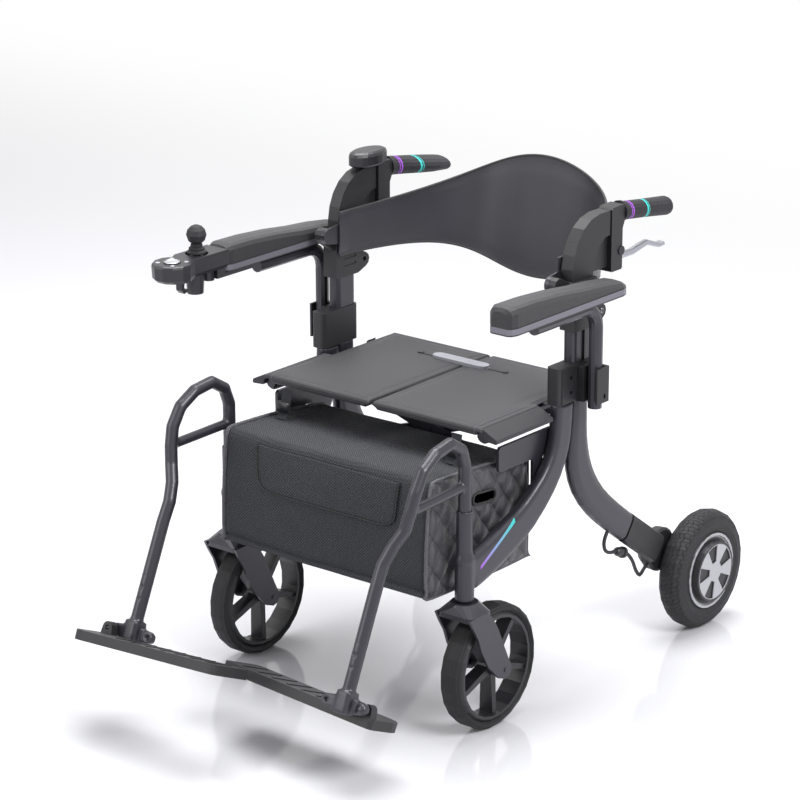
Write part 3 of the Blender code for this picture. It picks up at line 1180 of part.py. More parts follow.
def motor_cable(side, name):
    """Cable from the rear tube down to the motor's cup, with its screwed connector."""
    x = side * LEG_X
    x_in = side * (REAR_X - REAR_TYRE_W / 2 - 0.0095)
    start = Vector(CABLE_EXIT) - Vector(CABLE_WAY_OUT) * 0.0060
    end = Vector(CABLE_IN) - Vector(CABLE_WAY_IN) * 0.0006
    out = Vector(CABLE_EXIT) + Vector(CABLE_WAY_OUT) * 0.0060
    before = end - Vector(CABLE_WAY_IN) * 0.0070
    first = [(x, *start), (x, *out), (x, 0.2990, 0.2080), (x, 0.3040, 0.1940), (x, 0.3180, 0.1870),
             (x, 0.3320, 0.1850)]
    joint_a, joint_b = Vector(first[-1]), Vector((x, 0.3600, 0.1740))
    second = [joint_b, (x, 0.3780, 0.1560), (x - side * 0.0030, 0.3930, 0.1340),
              (x_in + side * 0.0030, 0.4090, 0.1195),
              (x_in, *before), (x_in, *end)]
    path = curve_through(first, 2)[:-1] + curve_through(second, 2)
    cable = finish(f"motor_cable_{name}", sweep(round_section(CABLE_R, 6), path),
                   material("cable", BLACK, 0.5),
                   frame_of(side))
    run = (joint_b - joint_a).normalized()
    nut = joint_a + run * 0.0170
    first_side = run.cross(Vector((1.0, 0.0, 0.0)))
    second_side = run.cross(first_side)
    length = (joint_b - joint_a).length
    shell = [[joint_a + run * d + (first_side * math.cos(a) + second_side * math.sin(a)) * r
              for a in (2 * math.pi * (i + 0.3) / 10 for i in range(10))]
             for d, r in ((0.0, CABLE_R + 0.0012), (0.0050, CONNECTOR_R), (length - 0.0050, CONNECTOR_R),
                          (length, CABLE_R + 0.0012))]
    add(cable, loft(bmesh.new(), shell), rod(nut, nut + run * 0.0060, CONNECTOR_R + 0.0020, 6))


# Joints' axes, then the pieces on them
for side, name in SIDES:
    pivot(f"caster_swivel_{name}", (side * CASTER_X, HEAD_Y, HEAD_BASE_Z))
    pivot(f"caster_spin_{name}", (side * CASTER_X, 0.0, AXLE_Z))
    pivot(f"rear_spin_{name}", (side * REAR_X, WHEELBASE, AXLE_Z))
    pivot(f"hanger_{name}", (side * CASTER_X, HEAD_Y, SOCKET_TOP_Z))
    pivot(f"footplate_{name}", tuple(foot_frame(side) @ Vector((LOBE_U, 0.0, LOBE_W))))
    pivot(f"armrest_{name}", (side * ARM_X, ARM_TUBE_Y, CLAMP_TOP_Z))
    pivot(f"brake_{name}", (side * HANDLE_X, *LEVER_PIVOT))
    pivot(f"flip_{name}", (side * BRACKET_OUT_X, DISC_Y, DISC_Z))
pivot("fold", (FOLD_X, 0.0, FOLD_Z))
pivot("fold_cross", (0.0, 0.0, CROSS_Z))
pivot("frame_left", (-FOLD_X, 0.0, FOLD_Z))
pivot("seat_panel_left", (-SEAT_TUBE_X, 0.0, SEAT_TUBE_Z))
pivot("seat_panel_right", (SEAT_TUBE_X, 0.0, SEAT_TUBE_Z))
pivot("gimbal", (CONSOLE_X, CONSOLE_Y, STICK_Z))
pivot("stick", (CONSOLE_X, CONSOLE_Y, STICK_Z))
for index, angle in enumerate(BUTTON_ANGLES, 1):
    pivot(f"button_{index}", (*button_place(angle), CONSOLE_TOP_Z))

for side, name in SIDES:
    for piece in (front_leg, rear_leg, side_rail, upright, arm_bracket, shoulder, handle_arm, grip,
                  brake_lever,
                  arm_tube, arm_pad, hanger, footplate, fork, caster_rim, caster_tyre, motor_arm, rear_hub,
                  rear_tyre, motor_cable, backrest_bracket, seat_panel, bag_side):
        piece(side, name)
brace(RIGHT, BRACE_A_Y)
brace(LEFT, BRACE_B_Y)
for piece in (strap_handle, backrest_band, bag_body, power_pack, console, gimbal, stick, buttons,
              palm_console):
    piece()
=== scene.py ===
"""Looks of an electric rollator: tubes, mouldings, soft goods, wheels, floor, lights, camera.

Laid out as an add-on and run as a script. All sizes are in metres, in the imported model's frame.
"""
import math

import bmesh
import bpy
from bpy.props import FloatProperty, FloatVectorProperty, PointerProperty
from mathutils import Matrix, Vector, noise


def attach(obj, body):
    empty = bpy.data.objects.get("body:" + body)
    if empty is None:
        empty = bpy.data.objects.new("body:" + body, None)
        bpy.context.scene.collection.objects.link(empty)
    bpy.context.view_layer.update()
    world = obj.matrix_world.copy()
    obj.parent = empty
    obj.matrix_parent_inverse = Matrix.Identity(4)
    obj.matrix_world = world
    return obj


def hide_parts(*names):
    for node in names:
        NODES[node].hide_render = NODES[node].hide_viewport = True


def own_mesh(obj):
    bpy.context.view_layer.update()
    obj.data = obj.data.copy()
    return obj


bl_info = {
    "name": "Electric Rollator",
    "version": (1, 0, 0),
    "blender": (4, 5, 0),
    "location": "View3D > Sidebar > Rollator",
    "description": "Finishes, soft goods and studio for a folding electric rollator",
    "category": "Object",
}

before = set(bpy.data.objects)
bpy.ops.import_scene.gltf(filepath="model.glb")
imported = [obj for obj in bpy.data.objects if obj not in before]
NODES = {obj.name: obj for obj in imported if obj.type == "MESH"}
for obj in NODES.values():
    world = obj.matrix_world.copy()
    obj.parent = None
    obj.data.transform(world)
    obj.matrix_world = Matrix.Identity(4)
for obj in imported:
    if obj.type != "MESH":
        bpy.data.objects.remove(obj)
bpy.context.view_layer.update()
SIDES = ((1, "right"), (-1, "left"))

CENTRE_Y = 0.11375    # a station along the part's source, less this, is Y here
AXLE_Z = 0.09914
DRIVEN_X = 0.260
DRIVEN_Y = 0.42825
CASTER_X = 0.236

FRAME_PAINT = 0x26252C
BAND_COATING = 0x232229
VIOLET = 0x9A4FC4
CYAN = 0x35C9C4


# Materials
def linear(colour):
    """Linear RGBA from an sRGB hex number such as 0x3F3E48, or from three linear values."""
    if not isinstance(colour, int):
        return [*colour, 1.0]
    parts = [((colour >> shift) & 255) / 255 for shift in (16, 8, 0)]
    return [p / 12.92 if p <= 0.04045 else ((p + 0.055) / 1.055) ** 2.4 for p in parts] + [1.0]


# Kinds of node with their settings
PLUS = ("ShaderNodeMath", {"operation": "ADD"})
LESS = ("ShaderNodeMath", {"operation": "SUBTRACT"})
TIMES = ("ShaderNodeMath", {"operation": "MULTIPLY"})
SHARE = ("ShaderNodeMath", {"operation": "MULTIPLY", "use_clamp": True})    # kept within 0 to 1
POWER = ("ShaderNodeMath", {"operation": "POWER"})
ROOT = ("ShaderNodeMath", {"operation": "SQRT"})
SIZE = ("ShaderNodeMath", {"operation": "ABSOLUTE"})
SINE = ("ShaderNodeMath", {"operation": "SINE"})
ANGLE = ("ShaderNodeMath", {"operation": "ARCTAN2"})
ABOVE = ("ShaderNodeMath", {"operation": "GREATER_THAN"})
HIGHEST = ("ShaderNodeMath", {"operation": "MAXIMUM"})
LOWEST = ("ShaderNodeMath", {"operation": "MINIMUM"})
BLEND = ("ShaderNodeMix", {"data_type": "RGBA"})


def add_node(tree, node, *sources):
    """Adds a node and gives its first output in use. Sources go to its inputs in their order.

    A setting is an attribute or a named input. An input takes a number, a colour or a socket.
    """
    kind, settings = node
    made = tree.nodes.new(kind)
    feeds = []
    for key, value in settings.items():
        if hasattr(made, key):
            setattr(made, key, value)
        else:
            feeds.append((made.inputs[key], value))
    feeds += zip([port for port in made.inputs if port.enabled], sources)
    for port, value in feeds:
        if isinstance(value, bpy.types.NodeSocket):
            tree.links.new(value, port)
        else:
            port.default_value = value
    return next(port for port in made.outputs if port.enabled)


def ripple(tree, value):
    """A sine's absolute value: 0 at each multiple of pi."""
    return add_node(tree, SIZE, add_node(tree, SINE, value))


def band(tree, value, low, high, soft):
    """1 between low and high, falling to 0 within soft."""
    rise = add_node(tree, SHARE, add_node(tree, LESS, value, low), 1.0 / soft)
    fall = add_node(tree, SHARE, add_node(tree, LESS, high, value), 1.0 / soft)
    return add_node(tree, TIMES, rise, fall)


class Finish:
    """A Principled material, and what is laid on its surface."""

    def __init__(self, name, colour, roughness, metallic=0.0, settings=None):
        self.mat = bpy.data.materials.new(name)
        self.mat.use_nodes = True
        self.tree = self.mat.node_tree
        self.shader = self.tree.nodes["Principled BSDF"]
        self.set("Base Color", linear(colour))
        self.set("Roughness", roughness)
        self.set("Metallic", metallic)
        for key, value in (settings or {}).items():
            self.set(key, value)
        self.place = add_node(self.tree, ("ShaderNodeTexCoord", {})).node.outputs["Object"]

    def set(self, key, value):
        self.shader.inputs[key].default_value = value

    def axes(self):
        """X, Y and Z of the position."""
        return add_node(self.tree, ("ShaderNodeSeparateXYZ", {}), self.place).node.outputs[:]

    def grain(self, size_mm, detail):
        """A surface pattern whose grains are size_mm across."""
        return add_node(self.tree, ("ShaderNodeTexNoise", {
            "Scale": 1000.0 / size_mm, "Detail": detail, "Roughness": 0.55}), self.place)

    @property
    def colour(self):
        """What colours the surface: a socket, or the plain colour."""
        port = self.shader.inputs["Base Color"]
        return port.links[0].from_socket if port.is_linked else port.default_value

    @colour.setter
    def colour(self, socket):
        self.tree.links.new(socket, self.shader.inputs["Base Color"])

    def cover(self, mask, colour):
        """Lays a colour, given as a number or a socket, over the surface where the mask is 1."""
        if not isinstance(colour, bpy.types.NodeSocket):
            colour = linear(colour)
        self.colour = add_node(self.tree, BLEND, mask, self.colour, colour)

    def relief(self, height, depth_mm):
        """Bump of depth_mm, on top of what is already there."""
        normal = self.shader.inputs["Normal"]
        settings = {"Distance": depth_mm / 1000.0, "Strength": 1.0, "Height": height}
        if normal.is_linked:
            settings["Normal"] = normal.links[0].from_socket
        self.tree.links.new(add_node(self.tree, ("ShaderNodeBump", settings)), normal)

    def vary_roughness(self, mask, low, high):
        """Roughness that runs from low to high with a mask."""
        level = add_node(self.tree, ("ShaderNodeMapRange", {"To Min": low, "To Max": high}), mask)
        self.tree.links.new(level, self.shader.inputs["Roughness"])

    def edge_wear(self, width_mm):
        """1 along sharp outer edges: the angle between the rounded and the true normal."""
        rounded = add_node(self.tree, ("ShaderNodeBevel",
                                       {"samples": 4, "Radius": width_mm / 1000.0}))
        true = add_node(self.tree, ("ShaderNodeNewGeometry", {})).node.outputs["Normal"]
        turned = add_node(self.tree, ("ShaderNodeVectorMath", {"operation": "DOT_PRODUCT"}),
                          rounded, true)
        return add_node(self.tree, SHARE, add_node(self.tree, LESS, 1.0, turned), 3.0)

    def driven_wheel(self):
        """Place on a driven wheel: out of its middle plane, then Y, Z and radius off the axle."""
        tree = self.tree
        x, y, z = self.axes()
        out = add_node(tree, LESS, add_node(tree, SIZE, x), DRIVEN_X)
        dy, dz = add_node(tree, LESS, y, DRIVEN_Y), add_node(tree, LESS, z, AXLE_Z)
        square = add_node(tree, PLUS, add_node(tree, TIMES, dy, dy), add_node(tree, TIMES, dz, dz))
        return out, dy, dz, add_node(tree, ROOT, square)


def painted_aluminium(name, colour):
    """Aluminium tube in satin metallic paint: a dark violet-grey body with a soft, wide highlight.

    Real orange peel is about 1.5 mm across. The metal flake is under 0.1 mm and is drawn at 0.5 mm
    to show.
    """
    finish = Finish(name, colour, 0.36, 0.35, {"Coat Weight": 0.25, "Coat Roughness": 0.22})
    tree = finish.tree
    cloud = finish.grain(60, 3)
    finish.cover(add_node(tree, TIMES, finish.grain(0.5, 2), 0.22), 0x5C5A68)
    worn = add_node(tree, TIMES, finish.edge_wear(1.0), add_node(tree, TIMES, cloud, 0.55))
    finish.cover(worn, 0x77757F)
    finish.vary_roughness(cloud, 0.30, 0.44)
    finish.relief(finish.grain(1.5, 1), 0.03)
    return finish


def moulded_nylon(name, colour, roughness=0.5):
    """Glass-filled nylon moulding: near-black, spark-eroded grain, edges rubbed slightly paler.

    The grain is 0.3 mm on the real one and is drawn at 0.8 mm so that it shows.
    """
    finish = Finish(name, colour, roughness, 0.0, {"IOR": 1.53})
    tree = finish.tree
    cloud = finish.grain(45, 3)
    finish.cover(add_node(tree, TIMES, cloud, 0.5), 0x232328)
    finish.cover(add_node(tree, TIMES, finish.edge_wear(0.8), 0.35), 0x56565E)
    finish.vary_roughness(cloud, roughness - 0.07, roughness + 0.08)
    finish.relief(finish.grain(0.8, 3), 0.05)
    return finish


def satin_metal(name, colour, roughness, brushed_axis):
    """Cast or turned metal with a satin brush: streaks along one axis stretch the highlight."""
    finish = Finish(name, colour, roughness, 1.0)
    tree = finish.tree
    scale = [900.0, 900.0, 900.0]
    scale[brushed_axis] = 40.0
    lines = add_node(tree, ("ShaderNodeMapping", {"Scale": scale}), finish.place)
    streak = add_node(tree, ("ShaderNodeTexNoise", {"Scale": 1.0, "Detail": 3.0}), lines)
    finish.vary_roughness(streak, roughness - 0.08, roughness + 0.12)
    finish.cover(add_node(tree, TIMES, streak, 0.3), 0x6A6A70)
    finish.relief(streak, 0.02)
    return finish


def tyre_rubber(name, colour):
    """Filled rubber: dull black with a faint bloom, rougher where it is dusty."""
    finish = Finish(name, colour, 0.62, 0.0, {"IOR": 1.52, "Specular IOR Level": 0.4})
    dust = finish.grain(18, 4)
    finish.cover(add_node(finish.tree, TIMES, dust, 0.5), 0x222226)
    finish.vary_roughness(dust, 0.55, 0.75)
    finish.relief(finish.grain(0.9, 2), 0.04)
    return finish


def leatherette(name, colour, grain_mm):
    """Coated cloth with a pebble grain: soft grey highlight, rounded pebbles with painted shade in
    the creases between them.

    The pebbles are 0.7 mm on the real one and are drawn at grain_mm so that they show.
    """
    finish = Finish(name, colour, 0.5, 0.0,
                    {"IOR": 1.48, "Sheen Weight": 0.12, "Sheen Roughness": 0.5})
    tree = finish.tree
    pebble = add_node(tree, ("ShaderNodeTexVoronoi", {
        "feature": "DISTANCE_TO_EDGE", "Scale": 1000.0 / grain_mm}), finish.place)
    soft = add_node(tree, ("ShaderNodeMapRange", {"From Max": 0.35}), pebble)
    # Painted shade: the creases between the pebbles are blended towards near-black.
    painted_crease_shade = add_node(tree, HIGHEST, soft, 0.35)
    finish.cover(add_node(tree, TIMES, finish.grain(70, 3), 0.45), 0x3D3C43)
    finish.colour = add_node(tree, BLEND, painted_crease_shade, linear(0x18181B), finish.colour)
    finish.vary_roughness(soft, 0.62, 0.44)
    finish.relief(soft, 0.18)
    return finish


def woven_twill(name, colour, thread_mm):
    """Black polyester twill: diagonal ribs of floating threads, each thread given a painted
    highlight.

    The threads are 0.6 mm apart on the real one and are drawn thread_mm apart so that they show.
    """
    finish = Finish(name, colour, 0.78, 0.0, {"Sheen Weight": 0.25, "Sheen Roughness": 0.4,
                                              "Sheen Tint": linear(0x8A8A92)})
    tree = finish.tree
    x, y, z = finish.axes()
    turns = math.pi / (thread_mm / 1000.0)
    across = add_node(tree, TIMES, x, turns)
    drop = add_node(tree, TIMES, add_node(tree, LESS, z, y), turns)
    ribs = ripple(tree, add_node(tree, LESS, across, drop))
    threads = add_node(tree, TIMES, ripple(tree, add_node(tree, TIMES, across, 2.0)),
                       ripple(tree, add_node(tree, TIMES, drop, 2.0)))
    weave = add_node(tree, TIMES, ribs, add_node(tree, PLUS, threads, 0.45))
    cloud = add_node(tree, TIMES, finish.grain(90, 4), 0.6)
    lit = add_node(tree, BLEND, cloud, linear(0x33353B), linear(0x474951))
    # Painted highlight: the crests of the threads and ribs are coloured lighter than the black
    # cloth.
    finish.cover(add_node(tree, SHARE, weave, 1.0), lit)
    finish.relief(weave, 0.9)
    return finish


def grip_rubber(name):
    """Thermoplastic rubber sleeve: matte black with violet and cyan moulded-in rings."""
    finish = Finish(name, 0x1B1B1F, 0.62, 0.0, {"Specular IOR Level": 0.4})
    tree = finish.tree
    y = finish.axes()[1]
    finish.cover(add_node(tree, TIMES, finish.grain(30, 3), 0.5), 0x2B2B31)
    for colour, low, high in ((VIOLET, (0.2290, 0.2308), (0.2330, 0.2362)),
                              (CYAN, (0.2710, 0.2745), (0.2765, 0.2780))):
        rings = add_node(tree, HIGHEST, band(tree, y, *low, 0.0003), band(tree, y, *high, 0.0003))
        finish.cover(rings, colour)
    rib_pitch = 0.004
    ribs = add_node(tree, SINE, add_node(tree, TIMES, y, 2 * math.pi / rib_pitch))
    finish.relief(add_node(tree, TIMES, ribs, band(tree, y, 0.285, 0.335, 0.002)), 0.25)
    finish.relief(finish.grain(0.9, 2), 0.05)
    return finish


def striped_leg_paint(name, side, colour):
    """The frame's paint with a violet-to-cyan stripe on the outer face of the front tube."""
    finish = painted_aluminium(name, colour)
    tree = finish.tree
    x, y, z = finish.axes()
    start, end, half_width, face_x = -0.148, -0.062, 0.0032, 0.2440
    line_y, line_z, slope = -0.150, 0.2690, 0.60
    rise = add_node(tree, TIMES, add_node(tree, LESS, y, line_y), slope)
    line = add_node(tree, PLUS, rise, line_z)
    off = add_node(tree, SIZE, add_node(tree, LESS, z, line))
    stripe = add_node(tree, SHARE, add_node(tree, LESS, half_width, off), 3000.0)
    stripe = add_node(tree, TIMES, stripe, band(tree, y, start, end, 0.0005))
    outer = add_node(tree, ABOVE, add_node(tree, TIMES, x, float(side)), face_x)
    run = add_node(tree, SHARE, add_node(tree, LESS, y, start), 1 / (end - start))
    finish.cover(add_node(tree, TIMES, stripe, outer),
                 add_node(tree, BLEND, run, linear(VIOLET), linear(CYAN)))
    return finish


def caster_tread(name):
    """Solid caster tyre: fine grooves 5.5 mm apart run round its tread."""
    finish = tyre_rubber(name, 0x111113)
    tree = finish.tree
    off = add_node(tree, LESS, add_node(tree, SIZE, finish.axes()[0]), CASTER_X)
    grooves = ripple(tree, add_node(tree, TIMES, off, math.pi / 0.0055))
    finish.relief(add_node(tree, SHARE, grooves, 5.0), 0.6)
    return finish


def driven_tread(name):
    """Road tyre: wavy blocks with cross cuts on the tread, painted shade in their grooves, fine
    ribs on the wall.
    """
    finish = tyre_rubber(name, 0x121214)
    tree = finish.tree
    off, dy, dz, radius = finish.driven_wheel()
    angle = add_node(tree, ANGLE, dz, dy)
    row_pitch, rib_pitch, tread_from = 0.009, 0.0045, 0.088
    swing = add_node(tree, TIMES, add_node(tree, SINE, add_node(tree, TIMES, angle, 40.0)), 0.0016)
    wave = add_node(tree, TIMES, add_node(tree, PLUS, off, swing), math.pi / row_pitch)
    slant = add_node(tree, PLUS, add_node(tree, TIMES, angle, 39.0),
                     add_node(tree, TIMES, off, 160.0))
    rows = add_node(tree, SHARE, ripple(tree, wave), 4.0)
    cuts = add_node(tree, SHARE, ripple(tree, slant), 4.0)
    blocks = add_node(tree, TIMES, rows, cuts)
    tread = add_node(tree, SHARE, add_node(tree, LESS, radius, tread_from), 500.0)
    finish.relief(add_node(tree, TIMES, blocks, tread), 1.6)
    ribs = add_node(tree, SINE, add_node(tree, TIMES, radius, 2 * math.pi / rib_pitch))
    finish.relief(add_node(tree, TIMES, ribs, add_node(tree, LESS, 1.0, tread)), 0.25)
    # Painted shade: the tread's grooves are darkened to near-black, the rest kept dark grey.
    groove_painted_shade = add_node(tree, TIMES, add_node(tree, LESS, 1.0, blocks), tread)
    finish.colour = add_node(tree, BLEND, groove_painted_shade, linear(0x242427), linear(0x0B0B0C))
    return finish


def hub_cover(name):
    """Hub motor's wheel: black moulded shell, bright turned rim ring and a pale satin disc."""
    finish = Finish(name, 0x26262A, 0.42)
    tree = finish.tree
    out, _, _, radius = finish.driven_wheel()
    disc = add_node(tree, TIMES, band(tree, radius, -1.0, 0.0472, 0.0006),
                    add_node(tree, ABOVE, out, 0.0284))
    ring = add_node(tree, TIMES, band(tree, radius, 0.0565, 0.0640, 0.0006),
                    add_node(tree, ABOVE, out, 0.0180))
    bright = add_node(tree, HIGHEST, disc, ring)
    finish.colour = add_node(tree, BLEND, bright, linear(0x1E1E22), linear(0xA9A9AE))
    finish.vary_roughness(finish.grain(20, 3), 0.34, 0.50)
    finish.relief(finish.grain(0.8, 2), 0.03)
    return finish


def pad_skin(name):
    """Moulded polyurethane arm pad: leather-grained black skin above a pale anodised edge strip."""
    finish = leatherette(name, 0x202024, 1.6)
    tree = finish.tree
    strip = band(tree, finish.axes()[2], 0.6432, 0.6524, 0.0004)
    finish.cover(strip, 0x77767F)
    tree.links.new(add_node(tree, TIMES, strip, 0.7), finish.shader.inputs["Metallic"])
    return finish


def dotted_grip(name):
    """Grey polypropylene pull with rows of raised dots 3 mm apart, a painted highlight on each dot,
    black at its cord ends.
    """
    finish = Finish(name, 0x9C9CA3, 0.42, 0.0, {"IOR": 1.49})
    tree = finish.tree
    x, y, _ = finish.axes()
    turns = 2 * math.pi / 0.003
    dots = add_node(tree, SHARE, add_node(tree, SINE, add_node(tree, TIMES, x, turns)),
                    add_node(tree, SINE, add_node(tree, TIMES, y, turns)))
    centre = add_node(tree, TIMES, band(tree, x, -0.052, 0.030, 0.002),
                      band(tree, y, 0.1255, 0.1370, 0.001))
    finish.relief(add_node(tree, TIMES, dots, centre), 0.5)
    # Painted highlight: the dots' crowns are coloured paler than the ground between them.
    finish.colour = add_node(tree, BLEND, dots, linear(0x8E8E96), linear(0xA9A9B0))
    finish.cover(add_node(tree, LESS, 1.0, band(tree, x, -0.0672, 0.0452, 0.0003)), 0x1C1C20)
    finish.vary_roughness(finish.grain(12, 3), 0.34, 0.5)
    return finish


def quilted_skin(name):
    """Grey coated cloth over wadding: pebble grain, with painted shade in the seams between raised
    diamonds.
    """
    finish = leatherette(name, 0x46454D, 1.5)
    tree = finish.tree
    _, y, z = finish.axes()
    puffs = []
    for sign in (1.0, -1.0):
        slant = add_node(tree, PLUS, add_node(tree, TIMES, y, QUILT_Y),
                         add_node(tree, TIMES, z, sign * QUILT_Z))
        puffs.append(ripple(tree, add_node(tree, TIMES, slant, math.pi)))
    # Painted shade: the seams between the diamonds are darkened to near-black.
    seam = add_node(tree, SHARE, add_node(tree, LOWEST, *puffs), 9.0)
    finish.colour = add_node(tree, BLEND, seam, linear(0x0C0C0E), finish.colour)
    finish.relief(add_node(tree, POWER, add_node(tree, TIMES, *puffs), 0.6), 6.0)
    finish.set("Coat Weight", 0.5)
    finish.set("Coat Roughness", 0.28)
    return finish


def sewn_leatherette(name):
    """Seat cover: grained leatherette with a seam and its stitches along the tube's sleeve."""
    finish = leatherette(name, 0x29282E, 1.5)
    tree = finish.tree
    x, y, _ = finish.axes()
    seam_x, seam_width, stitch_x, stitch_width, stitch_pitch = 0.2070, 0.0012, 0.2035, 0.0009, 0.005
    side = add_node(tree, SIZE, x)
    off_seam, off_thread = (add_node(tree, SIZE, add_node(tree, LESS, side, at))
                            for at in (seam_x, stitch_x))
    line = add_node(tree, SHARE, off_seam, 1 / seam_width)
    beat = add_node(tree, SINE, add_node(tree, TIMES, y, 2 * math.pi / stitch_pitch))
    between = add_node(tree, SHARE, off_thread, 1 / stitch_width)
    thread = add_node(tree, TIMES, add_node(tree, LESS, 1.0, between),
                      add_node(tree, ABOVE, beat, -0.4))
    finish.colour = add_node(tree, BLEND, line, linear(0x151517), finish.colour)
    finish.cover(thread, 0x5A5960)
    finish.relief(line, 0.8)
    finish.relief(thread, 0.4)
    return finish


def coated_band(name, colour):
    """Backrest cloth with a smooth satin coating: even dark grey with a broad soft gloss."""
    finish = Finish(name, colour, 0.38, 0.0, {"IOR": 1.5, "Sheen Weight": 0.08})
    cloud = finish.grain(80, 3)
    finish.cover(add_node(finish.tree, TIMES, cloud, 0.4), 0x3E3D45)
    finish.vary_roughness(cloud, 0.34, 0.46)
    finish.relief(finish.grain(1.2, 2), 0.04)
    return finish


def display_glass(name):
    """Acrylic window over a round read-out: pale, glossy and slightly cloudy."""
    finish = Finish(name, 0x8F9096, 0.18, 0.0, {"Coat Weight": 0.8})
    finish.colour = add_node(finish.tree, BLEND, finish.grain(8, 2),
                             linear(0x77787E), linear(0xB4B5BA))
    return finish


def studio_floor(name):
    """Painted studio floor: nearly white and glossy, fading to plain white behind the object."""
    finish = Finish(name, 0xDEDEE3, 0.08, 0.0, {"Specular IOR Level": 0.6})
    tree = finish.tree
    finish.vary_roughness(finish.grain(400, 2), 0.06, 0.11)
    far = add_node(tree, ("ShaderNodeMapRange", {
        "From Min": 0.9, "From Max": 3.4, "interpolation_type": "SMOOTHSTEP"}), finish.axes()[1])
    white = add_node(tree, ("ShaderNodeEmission", {"Color": linear(0xFFFFFF), "Strength": 1.0}))
    both = add_node(tree, ("ShaderNodeMixShader", {}), far, finish.shader.outputs[0], white)
    tree.links.new(both, tree.nodes["Material Output"].inputs["Surface"])
    return finish


# Meshes
def new_object(name, data):
    """A new object in the scene."""
    obj = bpy.data.objects.new(name, data)
    bpy.context.scene.collection.objects.link(obj)
    return obj


def add_piece(name, verts, faces, mat, body, slot, angle=40.0):
    """A new mesh object that rides on a body, smooth but for edges sharper than angle."""
    mesh = bpy.data.meshes.new(name)
    mesh.from_pydata([tuple(v) for v in verts], [], faces)
    bm = bmesh.new()
    bm.from_mesh(mesh)
    bmesh.ops.remove_doubles(bm, verts=bm.verts, dist=1e-6)
    bmesh.ops.recalc_face_normals(bm, faces=bm.faces)
    bm.to_mesh(mesh)
    bm.free()
    mesh.shade_smooth()
    obj = new_object(name, mesh)
    mesh.set_sharp_from_angle(angle=math.radians(angle))
    mesh.materials.append(mat)
    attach(obj, body)
    return obj


def skin(rings, capped=True):
    """Vertices and faces over closed rings of equal length, with or without end faces."""
    count = len(rings[0])
    verts = [v for ring in rings for v in ring]
    faces = [(r * count + i, r * count + (i + 1) % count,
              (r + 1) * count + (i + 1) % count, (r + 1) * count + i)
             for r in range(len(rings) - 1) for i in range(count)]
    if capped:
        faces += [tuple(range(count - 1, -1, -1)),
                  tuple((len(rings) - 1) * count + i for i in range(count))]
    return verts, faces


def tube_piece(name, points, radius, mat, body, cyclic=False, sides=6, as_curve=False):
    """A round tube along points, as a mesh or as a curve."""
    data = bpy.data.curves.new(name, "CURVE")
    data.dimensions = "3D"
    data.bevel_depth = radius
    data.bevel_resolution = sides // 2
    data.use_fill_caps = True
    line = data.splines.new("POLY")
    line.points.add(len(points) - 1)
    for target, point in zip(line.points, points):
        target.co = (*point, 1.0)
    line.use_cyclic_u = cyclic
    line.use_smooth = True
    data.materials.append(mat)
    obj = new_object(name, data)
    if not as_curve:
        bpy.context.view_layer.update()
        mesh = bpy.data.meshes.new_from_object(obj)
        bpy.data.objects.remove(obj)
        obj = new_object(name, mesh)
    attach(obj, body)
    return obj


def smooth_path(points, per_span=6, closed=False):
    """Points on a Catmull-Rom curve through the given ones."""
    points = [Vector(p) for p in points]
    count = len(points)
    spans = count if closed else count - 1
    path = []
    for i in range(spans):
        if closed:
            a, b, c, d = (points[(i + k) % count] for k in (-1, 0, 1, 2))
        else:
            a, b, c, d = (points[min(max(i + k, 0), count - 1)] for k in (-1, 0, 1, 2))
        for j in range(per_span):
            t = j / per_span
            path.append(0.5 * (2 * b + (c - a) * t + (2 * a - 5 * b + 4 * c - d) * t ** 2
                               + (3 * b - a - 3 * c + d) * t ** 3))
    return path if closed else path + [points[-1]]


def add_wall(obj, thickness):
    """Gives a sheet its thickness, towards the inside."""
    wall = obj.modifiers.new("Wall", "SOLIDIFY")
    wall.thickness = thickness
    wall.offset = -1.0


def swell(obj, voxel, pressure, cap, held):
    """Cloth under pressure: the piece fills out, by at most cap, where held(point) is false.

    The result is applied and the same on each run.
    """
    remesh = obj.modifiers.new("Remesh", "REMESH")
    remesh.mode = "VOXEL"
    remesh.voxel_size = voxel
    apply_modifiers(obj)
    start = [v.co.copy() for v in obj.data.vertices]
    group = obj.vertex_groups.new(name="held")
    group.add([i for i, p in enumerate(start) if held(p)], 1.0, "REPLACE")
    cloth = obj.modifiers.new("Cloth", "CLOTH")
    cloth.settings.vertex_group_mass = "held"
    cloth.settings.use_pressure = True
    cloth.settings.uniform_pressure_force = pressure
    cloth.settings.effector_weights.gravity = 0.0
    cloth.settings.quality = 4
    cloth.collision_settings.use_collision = False
    cloth.point_cache.frame_start = 1
    cloth.point_cache.frame_end = SWELL_FRAMES
    for step in range(1, SWELL_FRAMES + 1):
        bpy.context.scene.frame_set(step)
    apply_modifiers(obj)
    bpy.context.scene.frame_set(1)
    for vertex, before in zip(obj.data.vertices, start):
        move = vertex.co - before
        if move.length > cap:
            vertex.co = before + move * (cap / move.length)
    obj.data.shade_smooth()


def apply_modifiers(obj):
    """Replaces the mesh by its evaluated copy and removes the modifiers."""
    bpy.context.view_layer.update()
    evaluated = obj.evaluated_get(bpy.context.evaluated_depsgraph_get())
    mesh = bpy.data.meshes.new_from_object(evaluated)
    mats = list(obj.data.materials)
    obj.modifiers.clear()
    obj.data = mesh
    if not mesh.materials:
        for mat in mats:
            mesh.materials.append(mat)


def paint(mat, *nodes):
    """Gives a material to CAD nodes."""
    for node in nodes:
        for slot in NODES[node].material_slots:
            slot.material = mat


